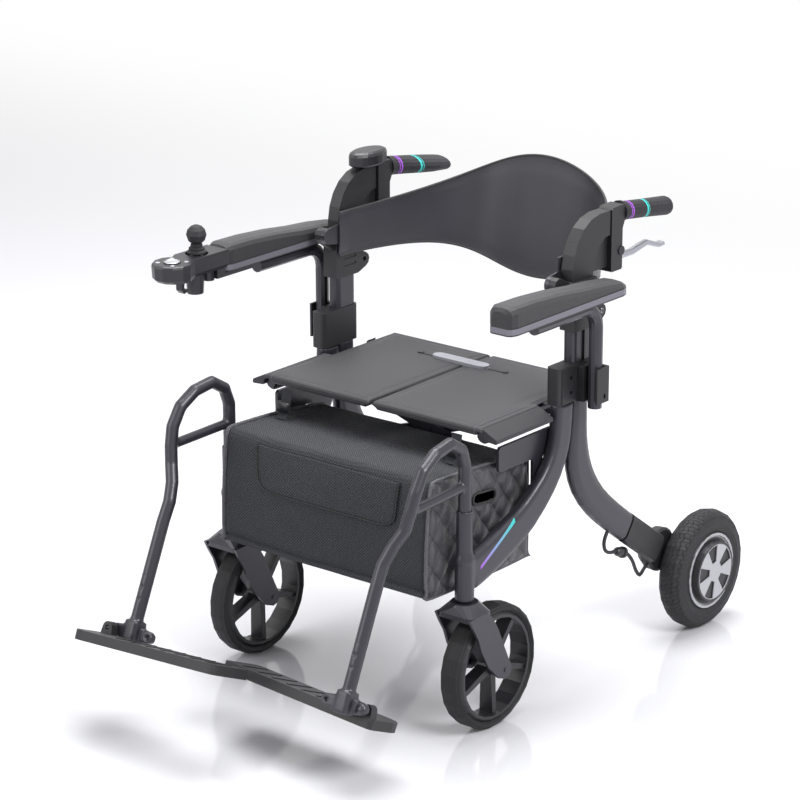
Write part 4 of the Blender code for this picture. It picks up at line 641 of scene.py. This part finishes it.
# Soft goods
SWELL_FRAMES = 20     # frames for which the cloth fills out
QUILT_Y = 26.0        # slope of the diamond seams on the bag's ends: seams per metre along Y
QUILT_Z = 20.0        # and along Z
BAG_REACH = 0.1997    # half width of the bag's wrap
BAG_STEPS = 60        # steps across the wrap
BAG_WALL = 0.0016
BAG_MIDDLE = Vector((0.0, -0.100, 0.320))
BAG_OUTLINE = ((-0.2098, 0.2300), (-0.2218, 0.2420), (-0.2258, 0.2600), (-0.2228, 0.3300),
               (-0.2158, 0.3980), (-0.2098, 0.4100), (-0.1958, 0.4140), (-0.0838, 0.4080),
               (0.0102, 0.3960), (0.0232, 0.3880), (0.0242, 0.3780), (0.0242, 0.2420),
               (0.0122, 0.2280))
STRAP_LINE = ((-0.1080, 0.4560), (-0.1120, 0.4400), (-0.1180, 0.4220), (-0.1250, 0.4130))
SLOT_Y, SLOT_Z = -0.0888, 0.3580      # middle of the hand slot in the bag's ends
SLOT_RADIUS = 0.0090
BAND_ROWS = 18        # steps from the band's low edge to its top edge


def rounded_outline(points, count):
    """The closed outline with softened corners, as count even points, and its length."""
    path = smooth_path([(0.0, y, z) for y, z in points], 8, True)
    lengths = [0.0]
    for a, b in zip(path, path[1:] + path[:1]):
        lengths.append(lengths[-1] + (b - a).length)
    total, found, index = lengths[-1], [], 0
    for i in range(count):
        want = total * i / count
        while lengths[index + 1] < want:
            index += 1
        t = (want - lengths[index]) / (lengths[index + 1] - lengths[index])
        found.append(path[index].lerp(path[(index + 1) % len(path)], t))
    return found, total


def fold_with_frame(obj):
    """Gives the piece a mesh of its own."""
    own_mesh(obj)


def bag_cloth(twill):
    """Front, bottom, back and lid of the bag in one wrap of twill that bellies out and creases."""
    outline, total = rounded_outline(BAG_OUTLINE, 132)
    belly_out, inset, floor_z, floor_share = 0.0035, 0.0012, 0.236, 0.3
    rings = []
    for i in range(BAG_STEPS + 1):
        x = -BAG_REACH + 2 * BAG_REACH * i / BAG_STEPS
        k = 1.0 - (x / BAG_REACH) ** 2
        ring = []
        for p in outline:
            out = (p - BAG_MIDDLE).normalized()
            crease = noise.noise(Vector((x * 9.0, p.y * 5.0, p.z * 26.0))) * 0.0022
            fine = noise.noise(Vector((x * 24.0, p.y * 30.0, p.z * 30.0))) * 0.0007
            push = belly_out * k * max(0.0, -out.y) + crease * (0.35 + 0.65 * k) + fine
            push *= 1.0 if p.z > floor_z else floor_share
            ring.append(Vector((x, p.y, p.z)) + out * (push - inset))
        rings.append(ring)
    verts, faces = skin(rings, capped=False)
    bag = add_piece("bag_cloth", verts, faces, twill, "frame_right", "bag", 70.0)
    add_wall(bag, BAG_WALL)
    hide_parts("bag_body")
    fold_with_frame(bag)
    return rings


def front_point(rings, x, z, out):
    """The point of the bag's front at x and z, moved out by a small amount."""
    nearest = round((x + BAG_REACH) / (2 * BAG_REACH) * BAG_STEPS)
    front = [p for p in rings[min(BAG_STEPS, max(0, nearest))] if p.y < -0.15]
    near = sorted(front, key=lambda p: abs(p.z - z))[:2]
    return Vector((x, min(near[0].y, near[1].y) - out, z))


def bag_flap(rings, twill, binding):
    """Flap sewn on the bag's front, with rounded lower corners and a raised bound edge."""
    rows, columns = 22, 56
    left_top, right_top = -0.1364, 0.1474
    top_z, low_z, height = 0.4030, 0.3325, 0.0760
    corner_from, corner_in = 0.72, 0.024
    verts = []
    for r in range(rows + 1):
        t = r / rows
        turn = max(0.0, (t - corner_from) / 0.28)
        corner = 1.0 - math.sqrt(max(0.0, 1.0 - turn ** 2))
        low = left_top + 0.0080 * t + corner_in * corner
        high = right_top - 0.0040 * t - corner_in * corner
        for c in range(columns + 1):
            x = low + (high - low) * c / columns
            verts.append(front_point(rings, x, top_z - (top_z - low_z) * t, 0.0022))
    step = columns + 1
    faces = [(r * step + c, r * step + c + 1, (r + 1) * step + c + 1, (r + 1) * step + c)
             for r in range(rows) for c in range(columns)]
    flap = add_piece("bag_flap", verts, faces, twill, "frame_right", "bag", 70.0)
    smoothing = flap.modifiers.new("Smooth", "SMOOTH")
    smoothing.iterations = 3
    add_wall(flap, BAG_WALL)
    edge = [verts[r * step] for r in range(rows + 1)]
    edge += [verts[rows * step + c] for c in range(step)]
    edge += [verts[r * step + columns] for r in range(rows, -1, -1)]
    hem = tube_piece("bag_flap_hem", [p + Vector((0.0, -0.0006, 0.0)) for p in edge], 0.0014,
                     binding, "frame_right")
    for piece in (flap, hem):
        fold_with_frame(piece)


def bag_webbing(webbing, plastic):
    """Two hanging straps that carry the bag from the seat tubes, with their moulded clips."""
    half, thick = 0.0095, 0.0012
    clip_half, clip_depth, clip_y = 0.0135, 0.0045, -0.1185
    strap_section = ((-half, 0.0), (half, 0.0), (half, thick), (-half, thick))
    clip_section = ((-1, -0.6), (-0.8, -1), (0.8, -1), (1, -0.6),
                    (1, 0.6), (0.8, 1), (-0.8, 1), (-1, 0.6))
    for side, name in SIDES:
        x = side * 0.1700
        strap = [[p + Vector((dx, dy, 0.0)) for dx, dy in strap_section]
                 for p in smooth_path([(x, y, z) for y, z in STRAP_LINE], 5)]
        add_piece(f"bag_strap_{name}", *skin(strap), webbing, f"frame_{name}", "bag")
        clip = [[(x + clip_half * k * a, clip_y + clip_depth * b * k, z) for a, b in clip_section]
                for z, k in ((0.4230, 0.8), (0.4245, 1.0), (0.4375, 1.0), (0.4390, 0.8))]
        add_piece(f"bag_clip_{name}", *skin(clip), plastic, f"frame_{name}", "bag")


def inside(outline, y, z):
    """Whether a point lies inside a closed outline."""
    found = False
    for (ay, az), (by, bz) in zip(outline, outline[1:] + outline[:1]):
        if (az > z) != (bz > z) and y < (by - ay) * (z - az) / (bz - az) + ay:
            found = not found
    return found


def quilted_end(side, name, quilt, piping, lining):
    """Padded end of the bag: wadding puffed between seams, piping round it, a slot for the hand."""
    outline = rounded_outline(BAG_OUTLINE, 120)[0]
    rim_x, back_x, puff_out, crown_out = 0.2030, 0.2003, 0.0042, 0.0032
    rings = []
    for k in (1.0, 0.985, 0.955, *(round(0.92 - 0.04 * i, 2) for i in range(23))):
        ring = []
        for p in outline:
            q = BAG_MIDDLE + (p - BAG_MIDDLE) * k
            u, v = q.y * QUILT_Y + q.z * QUILT_Z, q.y * QUILT_Y - q.z * QUILT_Z
            puff = abs(math.sin(math.pi * u) * math.sin(math.pi * v)) ** 0.55
            rise = puff_out * puff * min(1.0, (1.0 - k) / 0.08)
            crown = min(1.0, (1.0 - k) / 0.045) ** 0.5
            from_slot = Vector(((q.y - SLOT_Y) / 2.2, q.z - SLOT_Z)).length
            flat = min(1.0, max(0.0, 1.0 - from_slot / 0.020) * 3.0)
            x = rim_x + crown_out * crown + rise * (1.0 - flat)
            ring.append(Vector((side * x, q.y, q.z)))
        rings.append(ring)
    back = [Vector((side * back_x, p.y, p.z)) for p in rings[0]]
    verts, faces = skin([back] + rings, capped=False)
    count, tip = len(outline), len(verts)
    verts.append(rings[-1][0].lerp(rings[-1][60], 0.5))
    last = tip - count
    faces += [(last + i, last + (i + 1) % count, tip) for i in range(count)]
    slot_loop = [(SLOT_Y + math.copysign(0.0190, math.cos(a)) + SLOT_RADIUS * math.cos(a),
                  SLOT_Z - math.copysign(0.0020, math.cos(a)) + SLOT_RADIUS * math.sin(a))
                 for a in (2 * math.pi * (i + 0.5) / 24 for i in range(24))]
    keep = []
    for face in faces:
        spot = sum((Vector(verts[i]) for i in face), Vector()) / len(face)
        if not inside(slot_loop, spot.y, spot.z):
            keep.append(face)
    body, node = f"frame_{name}", f"bag_side_{name}"
    end = add_piece(f"bag_quilt_{name}", verts, keep, quilt, body, "bag_side", 50.0)
    add_wall(end, 0.0012)
    edge = tube_piece(f"bag_piping_{name}", [Vector((side * 0.2045, p.y, p.z)) for p in outline],
                      0.0021, piping, body, True)
    rim = tube_piece(f"bag_slot_{name}", [Vector((side * 0.2080, y, z)) for y, z in slot_loop],
                     0.0019, lining, body, True)
    for piece in (end, edge, rim):
        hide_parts(node)


def copy_of_node(node, name, mat, body):
    """A new object with a copy of a CAD node's mesh, in one material."""
    source = NODES[node]
    mesh = source.data.copy()
    mesh.materials.clear()
    obj = new_object(name, mesh)
    obj.matrix_world = source.matrix_world.copy()
    bpy.context.view_layer.update()
    mesh.transform(obj.matrix_world)
    obj.matrix_world = Matrix.Identity(4)
    for polygon in mesh.polygons:
        polygon.material_index = 0
    mesh.materials.append(mat)
    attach(obj, body)
    return obj


def seat_board(side, name, cover):
    """Leatherette-wrapped board with its tube sleeves, and the thin crowned pad on top of it."""
    body = f"seat_{name}"
    board = copy_of_node(f"seat_panel_{name}", f"seat_board_{name}", cover, body)
    seam_x, side_x, beside_upright_x, upright_y = 0.0050, 0.2145, 0.1965, 0.032
    front, rear, base = -0.1060, 0.1955, 0.4712
    rows, columns = 40, 28
    rings = []
    for r in range(rows + 1):
        y = front + (rear - front) * r / rows
        v = 2 * r / rows - 1
        edge_x = side_x if y < upright_y else beside_upright_x
        ring = []
        for c in range(columns + 1):
            u = 2 * c / columns - 1
            dome = (1 - abs(u) ** 6) ** 0.5 * (1 - abs(v) ** 8) ** 0.5
            x = seam_x + (edge_x - seam_x) * (u + 1) / 2
            ring.append(Vector((side * x, y, base + 0.0008 + 0.0026 * dome)))
        ring += [Vector((p.x, p.y, base)) for p in reversed(ring)]
        rings.append(ring)
    pad = add_piece(f"seat_pad_{name}", *skin(rings), cover, body, "seat", 60.0)
    swell(pad, 0.004, 1.0, 0.0016, lambda p: p.z < base + 0.0005)
    for piece in (board, pad):
        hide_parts(f"seat_panel_{name}")


def rounder_tube(node, mat, body):
    """A bent tube with its solid's form and an evenly round skin, without the solid's facets."""
    tube = copy_of_node(node, f"{node}_tube", mat, body)
    even = tube.modifiers.new("Even", "REMESH")
    even.mode = "VOXEL"
    even.voxel_size = 0.0021
    calm = tube.modifiers.new("Calm", "SMOOTH")
    calm.factor = 0.5
    calm.iterations = 7
    apply_modifiers(tube)
    tube.data.shade_smooth()
    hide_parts(node)


def arm_cushion(name, cover):
    """Moulded polyurethane pad: its solid's form with softened edges, on its metal edge strip."""
    pad = copy_of_node(f"arm_pad_{name}", f"arm_cushion_{name}", cover, f"armrest_{name}")
    soft = pad.modifiers.new("Edges", "BEVEL")
    soft.width = 0.0016
    soft.segments = 3
    soft.angle_limit = math.radians(28)
    soft.limit_method = "ANGLE"
    pad.data.shade_smooth()
    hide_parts(f"arm_pad_{name}")


def band_shape(x):
    """(top, low) edges of the backrest band at x."""
    k = x / 0.2
    return 0.774 - 0.106 * k ** 2 + 0.035 * k ** 4, 0.580 + 0.086 * k ** 2 - 0.039 * k ** 4


def band_line():
    """The bowed band's middle line from bracket to bracket, in steps of about 8 mm.

    Returns it with the Y of its ends and the depth of the bow.
    """
    half, end_y, run, depth, turns = 0.2172, 0.07625, 0.025, 0.220, 96
    stations = [Vector((-half, end_y, 0.0))]
    for i in range(1, turns):
        a = math.radians(-90 + 180 * i / turns)
        s, c = math.sin(a), math.cos(a)
        x = math.copysign(abs(s) ** 0.4, s) * half
        stations.append(Vector((x, end_y + run + depth * c * c, 0.0)))
    stations.append(Vector((half, end_y, 0.0)))
    path = [stations[0]]
    for p in stations[1:]:
        parts = max(1, round((p - path[-1]).length / 0.008))
        path += [path[-1].lerp(p, (j + 1) / parts) for j in range(parts)]
    return path, end_y, depth


def backrest(cloth, binding):
    """Wide flexible band bowed between the two brackets, with a folded and stitched edge."""
    path, end_y, depth = band_line()
    half_wall, rim_rise, lean_share, hinge_z = 0.0013, 0.0006, 0.17, 0.663
    rings, edges = [], ([], [])
    for i, p in enumerate(path):
        run_way = (path[min(i + 1, len(path) - 1)] - path[max(i - 1, 0)]).normalized()
        out = Vector((-run_way.y, run_way.x, 0.0))
        top, low = band_shape(p.x)
        ring = []
        for j in range(BAND_ROWS + 1):
            z = low + (top - low) * (j / BAND_ROWS)
            rim = rim_rise if j in (1, BAND_ROWS - 1) else 0.0
            lean = lean_share * (z - hinge_z) * min(1.0, (p.y - end_y) / depth)
            ring.append(Vector((p.x, p.y + lean, z)) + out * (half_wall + rim))
        for j in range(BAND_ROWS, -1, -1):
            ring.append(ring[j] - out * (2 * half_wall))
        for edge, j in zip(edges, (0, BAND_ROWS)):
            edge.append(ring[j] - out * half_wall)
        rings.append(ring)
    verts, faces = skin(rings)
    band = add_piece("backrest_cloth", verts, faces, cloth, "backrest_right", "band", 60.0)
    hems = [tube_piece(f"backrest_hem_{label}", line, 0.0021, binding, "backrest_right")
            for label, line in zip(("low", "top"), edges)]
    for piece in [band] + hems:
        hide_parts("backrest_band")
        fold_with_frame(piece)


# Small hard pieces
def circle(count):
    """Count even angles round a circle."""
    return [2 * math.pi * i / count for i in range(count)]


def turned_piece(name, at, axis, profile, mat, body, slot, sides):
    """Solid of revolution: profile is (radius, height along axis) from the base up."""
    turn = Vector(axis).to_track_quat("Z", "Y").to_matrix()
    rings = [[Vector(at) + turn @ Vector((r * math.cos(a), r * math.sin(a), h))
              for a in circle(sides)] for r, h in profile]
    return add_piece(name, *skin(rings), mat, body, slot, 35.0)


def socket_screw(name, at, axis, radius, mat, body, slot):
    """Button-head screw with a socket."""
    profile = ((1.0, -0.0005), (1.0, 0.0006), (0.86, 0.0017), (0.55, 0.0023), (0.50, 0.0023),
               (0.50, 0.0009))
    turned_piece(name, at, axis, [(radius * share, height) for share, height in profile],
                 mat, body, slot, 18)


def motor_lead(side, name, sheath, plastic):
    """Motor's cable from the rear tube's hole into the motor arm, with its screwed connector."""
    radius = 0.0030
    x = side * 0.2365
    x_in = side * (DRIVEN_X - 0.023 - 0.0095)
    hole_y, hole_z, hole_dy, hole_dz = 0.30850 - CENTRE_Y, 0.2263, 0.651, 0.759
    arm_y, arm_z, arm_dy, arm_dz = 0.4330 - CENTRE_Y, 0.1295, 0.866, 0.5
    first = [(x, hole_y + hole_dy * 0.006, hole_z + hole_dz * 0.006),
             (x, hole_y - hole_dy * 0.006, hole_z - hole_dz * 0.006),
             (x, 0.18525, 0.2080), (x, 0.19025, 0.1940), (x, 0.20425, 0.1870),
             (x, 0.21825, 0.1850)]
    second = [(x, 0.24625, 0.1740), (x, 0.26425, 0.1560), (x - side * 0.003, 0.27925, 0.1340),
              (x_in + side * 0.003, 0.29525, 0.1195),
              (x_in, arm_y - arm_dy * 0.0076, arm_z - arm_dz * 0.0076),
              (x_in, arm_y - arm_dy * 0.0006, arm_z - arm_dz * 0.0006)]
    path = smooth_path(first + second, 3)
    data = tube_piece(f"motor_lead_{name}", path, radius, sheath, f"frame_{name}", False,
                      8, True)
    plug_from, plug_to = Vector(first[-1]), Vector(second[0])
    way, size = (plug_to - plug_from).normalized(), (plug_to - plug_from).length
    profile = [(0.0042, 0.0), (0.0068, 0.003), (0.0075, 0.005), (0.0075, 0.0165),
               (0.0094, 0.0170), (0.0094, 0.0228), (0.0075, 0.0233), (0.0075, size - 0.005),
               (0.0066, size - 0.003), (0.0042, size)]
    plug = turned_piece(f"motor_plug_{name}", plug_from, way, profile, plastic, f"frame_{name}",
                        "cable", 20)
    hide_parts(f"motor_cable_{name}")
    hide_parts(f"motor_cable_{name}")


# Settings
class ROLLATOR_PG_finishes(bpy.types.PropertyGroup):
    """Colours of the frame and the soft goods."""
    frame_colour: FloatVectorProperty(
        name="Frame Paint", description="Satin paint of the tubes", subtype="COLOR", size=3,
        min=0.0, max=1.0, default=tuple(linear(FRAME_PAINT)[:3]))
    cover_colour: FloatVectorProperty(
        name="Backrest Coating", description="Satin coating of the backrest band",
        subtype="COLOR", size=3, min=0.0, max=1.0, default=tuple(linear(BAND_COATING)[:3]))


class ROLLATOR_PG_sizes(bpy.types.PropertyGroup):
    """Sizes of the weave and of the floor."""
    thread: FloatProperty(
        name="Twill Thread", description="Distance between the bag's drawn threads",
        default=0.0046, min=0.0005, max=0.01, unit="LENGTH")
    floor: FloatProperty(
        name="Floor", description="Half width of the studio floor",
        default=30.0, min=5.0, max=100.0, unit="LENGTH")


class ROLLATOR_OT_frame(bpy.types.Operator):
    """Paint the tubes, braces and fittings of the folding frame"""
    bl_idname = "rollator.frame"
    bl_label = "Frame"

    def execute(self, context):
        colour = tuple(context.scene.rollator_finishes.frame_colour)
        tube = painted_aluminium("Painted aluminium satin", colour).mat
        nylon = moulded_nylon("Glass-filled nylon moulded", 0x101013).mat
        steel = painted_aluminium("Coated steel bracket", 0x1D1D22).mat
        for side, name in SIDES:
            striped = striped_leg_paint(f"Painted aluminium striped {name}", side, colour).mat
            rounder_tube(f"front_leg_{name}", striped, f"frame_{name}")
            rounder_tube(f"rear_leg_{name}", tube, f"frame_{name}")
            rounder_tube(f"hanger_{name}", tube, f"footrest_{name}")
            paint(tube, *(f"{node}_{name}" for node in ("upright", "arm_tube", "brace", "fork")))
            paint(nylon, *(f"{node}_{name}" for node in (
                "arm_bracket", "shoulder", "handle_arm", "motor_arm", "footplate")))
            paint(steel, f"backrest_bracket_{name}", f"side_rail_{name}")
        paint(nylon, "power_pack")
        screw = satin_metal("Zinc-plated steel turned", 0x8E8E94, 0.34, 0).mat
        for side, name in SIDES:
            way = (side, 0, 0)
            socket_screw(f"shoulder_screw_{name}", (side * 0.2515, 0.1462, 0.6060), way, 0.0045,
                         screw, f"frame_{name}", "moulding")
            socket_screw(f"hinge_screw_{name}", (side * 0.2273, 0.05325, 0.6630), way, 0.0040,
                         screw, f"backrest_{name}", "bracket")
        return {"FINISHED"}


class ROLLATOR_OT_wheels(bpy.types.Operator):
    """Finish the casters and the driven wheels"""
    bl_idname = "rollator.wheels"
    bl_label = "Wheels"

    def execute(self, context):
        for finish, node in ((moulded_nylon("Nylon rim moulded", 0x18181C, 0.42), "caster_rim"),
                             (caster_tread("Polyurethane tyre grooved"), "caster_tyre"),
                             (driven_tread("Rubber tyre treaded"), "rear_tyre"),
                             (hub_cover("Aluminium hub cover satin"), "rear_hub")):
            paint(finish.mat, *(f"{node}_{name}" for _, name in SIDES))
        return {"FINISHED"}


class ROLLATOR_OT_cables(bpy.types.Operator):
    """Lay the motors' cables"""
    bl_idname = "rollator.cables"
    bl_label = "Cables"

    def execute(self, context):
        sheath = moulded_nylon("PVC sheath extruded", 0x17171A, 0.55).mat
        plug = moulded_nylon("PBT connector moulded", 0x202024, 0.42).mat
        for side, name in SIDES:
            motor_lead(side, name, sheath, plug)
        return {"FINISHED"}


class ROLLATOR_OT_seat(bpy.types.Operator):
    """Make the two seat boards with their covers and the pull across the seam"""
    bl_idname = "rollator.seat"
    bl_label = "Seat"

    def execute(self, context):
        cover = sewn_leatherette("Leatherette seat cover grained").mat
        for side, name in SIDES:
            seat_board(side, name, cover)
        paint(dotted_grip("Polypropylene pull dotted").mat, "strap_handle")
        return {"FINISHED"}


class ROLLATOR_OT_bag(bpy.types.Operator):
    """Make the bag: twill wrap, sewn flap, quilted ends, straps and clips"""
    bl_idname = "rollator.bag"
    bl_label = "Bag"

    def execute(self, context):
        thread_mm = context.scene.rollator_sizes.thread * 1000.0
        twill = woven_twill("Polyester twill woven", 0x060607, thread_mm).mat
        binding = woven_twill("Polyester binding woven", 0x0A0A0C, thread_mm * 0.5).mat
        seam = moulded_nylon("Polyester seam piping", 0x050506, 0.7).mat
        piping = leatherette("Leatherette piping grained", 0x7E7D85, 1.2).mat
        lining = leatherette("Leatherette slot binding", 0x101012, 1.2).mat
        clip = moulded_nylon("Acetal clip moulded", 0x1D1D20, 0.4).mat
        bag_flap(bag_cloth(twill), twill, seam)
        bag_webbing(binding, clip)
        for side, name in SIDES:
            quilt = quilted_skin(f"Quilted leatherette {name}").mat
            quilted_end(side, name, quilt, piping, lining)
        return {"FINISHED"}


class ROLLATOR_OT_backrest(bpy.types.Operator):
    """Make the bowed backrest band with its bound edges"""
    bl_idname = "rollator.backrest"
    bl_label = "Backrest"

    def execute(self, context):
        colour = tuple(context.scene.rollator_finishes.cover_colour)
        coating = coated_band("Polyurethane coated cloth satin", colour).mat
        binding = leatherette("Leatherette edge binding", 0x232327, 1.2).mat
        backrest(coating, binding)
        return {"FINISHED"}


class ROLLATOR_OT_armrests(bpy.types.Operator):
    """Make the arm pads"""
    bl_idname = "rollator.armrests"
    bl_label = "Armrests"

    def execute(self, context):
        cover = pad_skin("Polyurethane pad on anodised strip").mat
        for _, name in SIDES:
            arm_cushion(name, cover)
        return {"FINISHED"}


class ROLLATOR_OT_controls(bpy.types.Operator):
    """Finish the grips, levers, joystick, display and buttons"""
    bl_idname = "rollator.controls"
    bl_label = "Controls"

    def execute(self, context):
        for finish, nodes in (
                (moulded_nylon("ABS housing satin", 0x1C1C20, 0.36), ("console", "palm_console")),
                (grip_rubber("Thermoplastic rubber ringed"), ("grip_right", "grip_left")),
                (satin_metal("Cast aluminium satin", 0xB4B4BC, 0.36, 1),
                 ("brake_lever_right", "brake_lever_left")),
                (tyre_rubber("Silicone boot moulded", 0x232327), ("stick",)),
                (satin_metal("Stainless steel turned", 0xA2A2A8, 0.3, 2), ("gimbal",)),
                (moulded_nylon("ABS key caps", 0xB2B2B8, 0.4),
                 [f"button_{i}" for i in range(1, 5)])):
            paint(finish.mat, *nodes)
        glass = display_glass("Acrylic display printed").mat
        bright = satin_metal("Chromed ring", 0xC6C6CC, 0.2, 2).mat
        at = (-0.2670, -0.26075, 0.6819)
        profile = ((0.0112, -0.0004), (0.0112, 0.0002), (0.0100, 0.0006), (0.0, 0.0009))
        turned_piece("display_glass", at, (0, 0, 1), profile, glass, "armrest_left", "console", 32)
        ring_radius = 0.0122
        ring = [Vector((at[0] + ring_radius * math.cos(a), at[1] + ring_radius * math.sin(a),
                        at[2] + 0.0001)) for a in circle(40)]
        tube_piece("display_ring", ring, 0.0008, bright, "armrest_left", True)
        return {"FINISHED"}


class ROLLATOR_OT_stage(bpy.types.Operator):
    """Set the pale floor, the soft lamps and the camera"""
    bl_idname = "rollator.stage"
    bl_label = "Stage"

    def execute(self, context):
        half, level = context.scene.rollator_sizes.floor, -0.0002
        mesh = bpy.data.meshes.new("studio_floor")
        mesh.from_pydata([(-half, -half, level), (half, -half, level), (half, half, level),
                          (-half, half, level)], [], [(0, 1, 2, 3)])
        mesh.materials.append(studio_floor("Painted floor satin").mat)
        floor = new_object("studio_floor", mesh)
        for name, at, aim, size, power in (
                ("key_lamp", (3.4, -0.4, 3.2), (0.1, 0.0, 0.4), 1.8, 150.0),
                ("top_lamp", (-0.4, 0.6, 3.6), (0.0, 0.1, 0.4), 2.4, 150.0),
                ("front_lamp", (-1.6, -3.4, 2.2), (0.0, 0.0, 0.4), 2.4, 60.0)):
            data = bpy.data.lights.new(name, "AREA")
            data.shape = "SQUARE"
            data.size = size
            data.energy = power
            lamp = new_object(name, data)
            lamp.location = at
            lamp.rotation_euler = (Vector(aim) - Vector(at)).to_track_quat("-Z", "Y").to_euler()
        self.light_world(context)
        self.place_camera(context)
        context.scene.view_settings.view_transform = "Standard"
        return {"FINISHED"}

    def light_world(self, context):
        """Soft grey surround for the light, plain white where it is seen or mirrored."""
        world = bpy.data.worlds.new("Studio")
        context.scene.world = world
        world.use_nodes = True
        tree = world.node_tree
        back = tree.nodes["Background"]
        path = add_node(tree, ("ShaderNodeLightPath", {})).node.outputs
        direct = add_node(tree, HIGHEST, path["Is Camera Ray"], path["Is Transmission Ray"])
        shown = add_node(tree, HIGHEST, direct, path["Is Glossy Ray"])
        level = add_node(tree, ("ShaderNodeMapRange", {"To Min": 0.42, "To Max": 1.0}), shown)
        back.inputs["Color"].default_value = linear(0xFFFFFF)
        tree.links.new(level, back.inputs["Strength"])

    def place_camera(self, context):
        """Camera at the photograph's angle: 39 degrees round, 18 degrees up, a long lens."""
        sensor_mm, focal_pixels, picture_pixels = 36.0, 3078.5, 800.0
        azimuth, elevation, roll = (math.radians(v) for v in (39.40, 18.20, -0.19))
        forward = Vector((-math.sin(azimuth) * math.cos(elevation),
                          math.cos(azimuth) * math.cos(elevation), -math.sin(elevation)))
        level = Vector((math.cos(azimuth), math.sin(azimuth), 0.0))
        rise = level.cross(forward)
        right = level * math.cos(roll) + rise * math.sin(roll)
        up = rise * math.cos(roll) - level * math.sin(roll)
        turn = Matrix((right, up, -forward)).transposed().to_4x4()
        data = bpy.data.cameras.new("camera")
        data.sensor_fit = "HORIZONTAL"
        data.sensor_width = sensor_mm
        data.lens = sensor_mm * focal_pixels / picture_pixels
        data.clip_end = 200.0
        camera = new_object("camera", data)
        camera.matrix_world = Matrix.Translation((2.8912, -3.55595, 1.9537)) @ turn
        context.scene.camera = camera


STEPS = (ROLLATOR_OT_stage, ROLLATOR_OT_cables, ROLLATOR_OT_frame, ROLLATOR_OT_wheels,
         ROLLATOR_OT_seat, ROLLATOR_OT_bag, ROLLATOR_OT_backrest, ROLLATOR_OT_armrests,
         ROLLATOR_OT_controls)


class ROLLATOR_PT_sidebar(bpy.types.Panel):
    """Steps and settings of the rollator"""
    bl_idname = "ROLLATOR_PT_sidebar"
    bl_label = "Electric Rollator"
    bl_space_type = "VIEW_3D"
    bl_region_type = "UI"
    bl_category = "Rollator"

    def draw(self, context):
        for group in (context.scene.rollator_finishes, context.scene.rollator_sizes):
            for key in group.__annotations__:
                self.layout.prop(group, key)
        for step in STEPS:
            self.layout.operator(step.bl_idname)


CLASSES = (ROLLATOR_PG_finishes, ROLLATOR_PG_sizes, *STEPS, ROLLATOR_PT_sidebar)


def register():
    for kind in CLASSES:
        bpy.utils.register_class(kind)
    bpy.types.Scene.rollator_finishes = PointerProperty(type=ROLLATOR_PG_finishes)
    bpy.types.Scene.rollator_sizes = PointerProperty(type=ROLLATOR_PG_sizes)


def unregister():
    del bpy.types.Scene.rollator_finishes
    del bpy.types.Scene.rollator_sizes
    for kind in reversed(CLASSES):
        bpy.utils.unregister_class(kind)


def main():
    """Runs the steps in order."""
    register()
    bpy.ops.rollator.stage()
    bpy.ops.rollator.cables()
    bpy.ops.rollator.frame()
    bpy.ops.rollator.wheels()
    bpy.ops.rollator.seat()
    bpy.ops.rollator.bag()
    bpy.ops.rollator.backrest()
    bpy.ops.rollator.armrests()
    bpy.ops.rollator.controls()


if __name__ == "__main__":
    main()
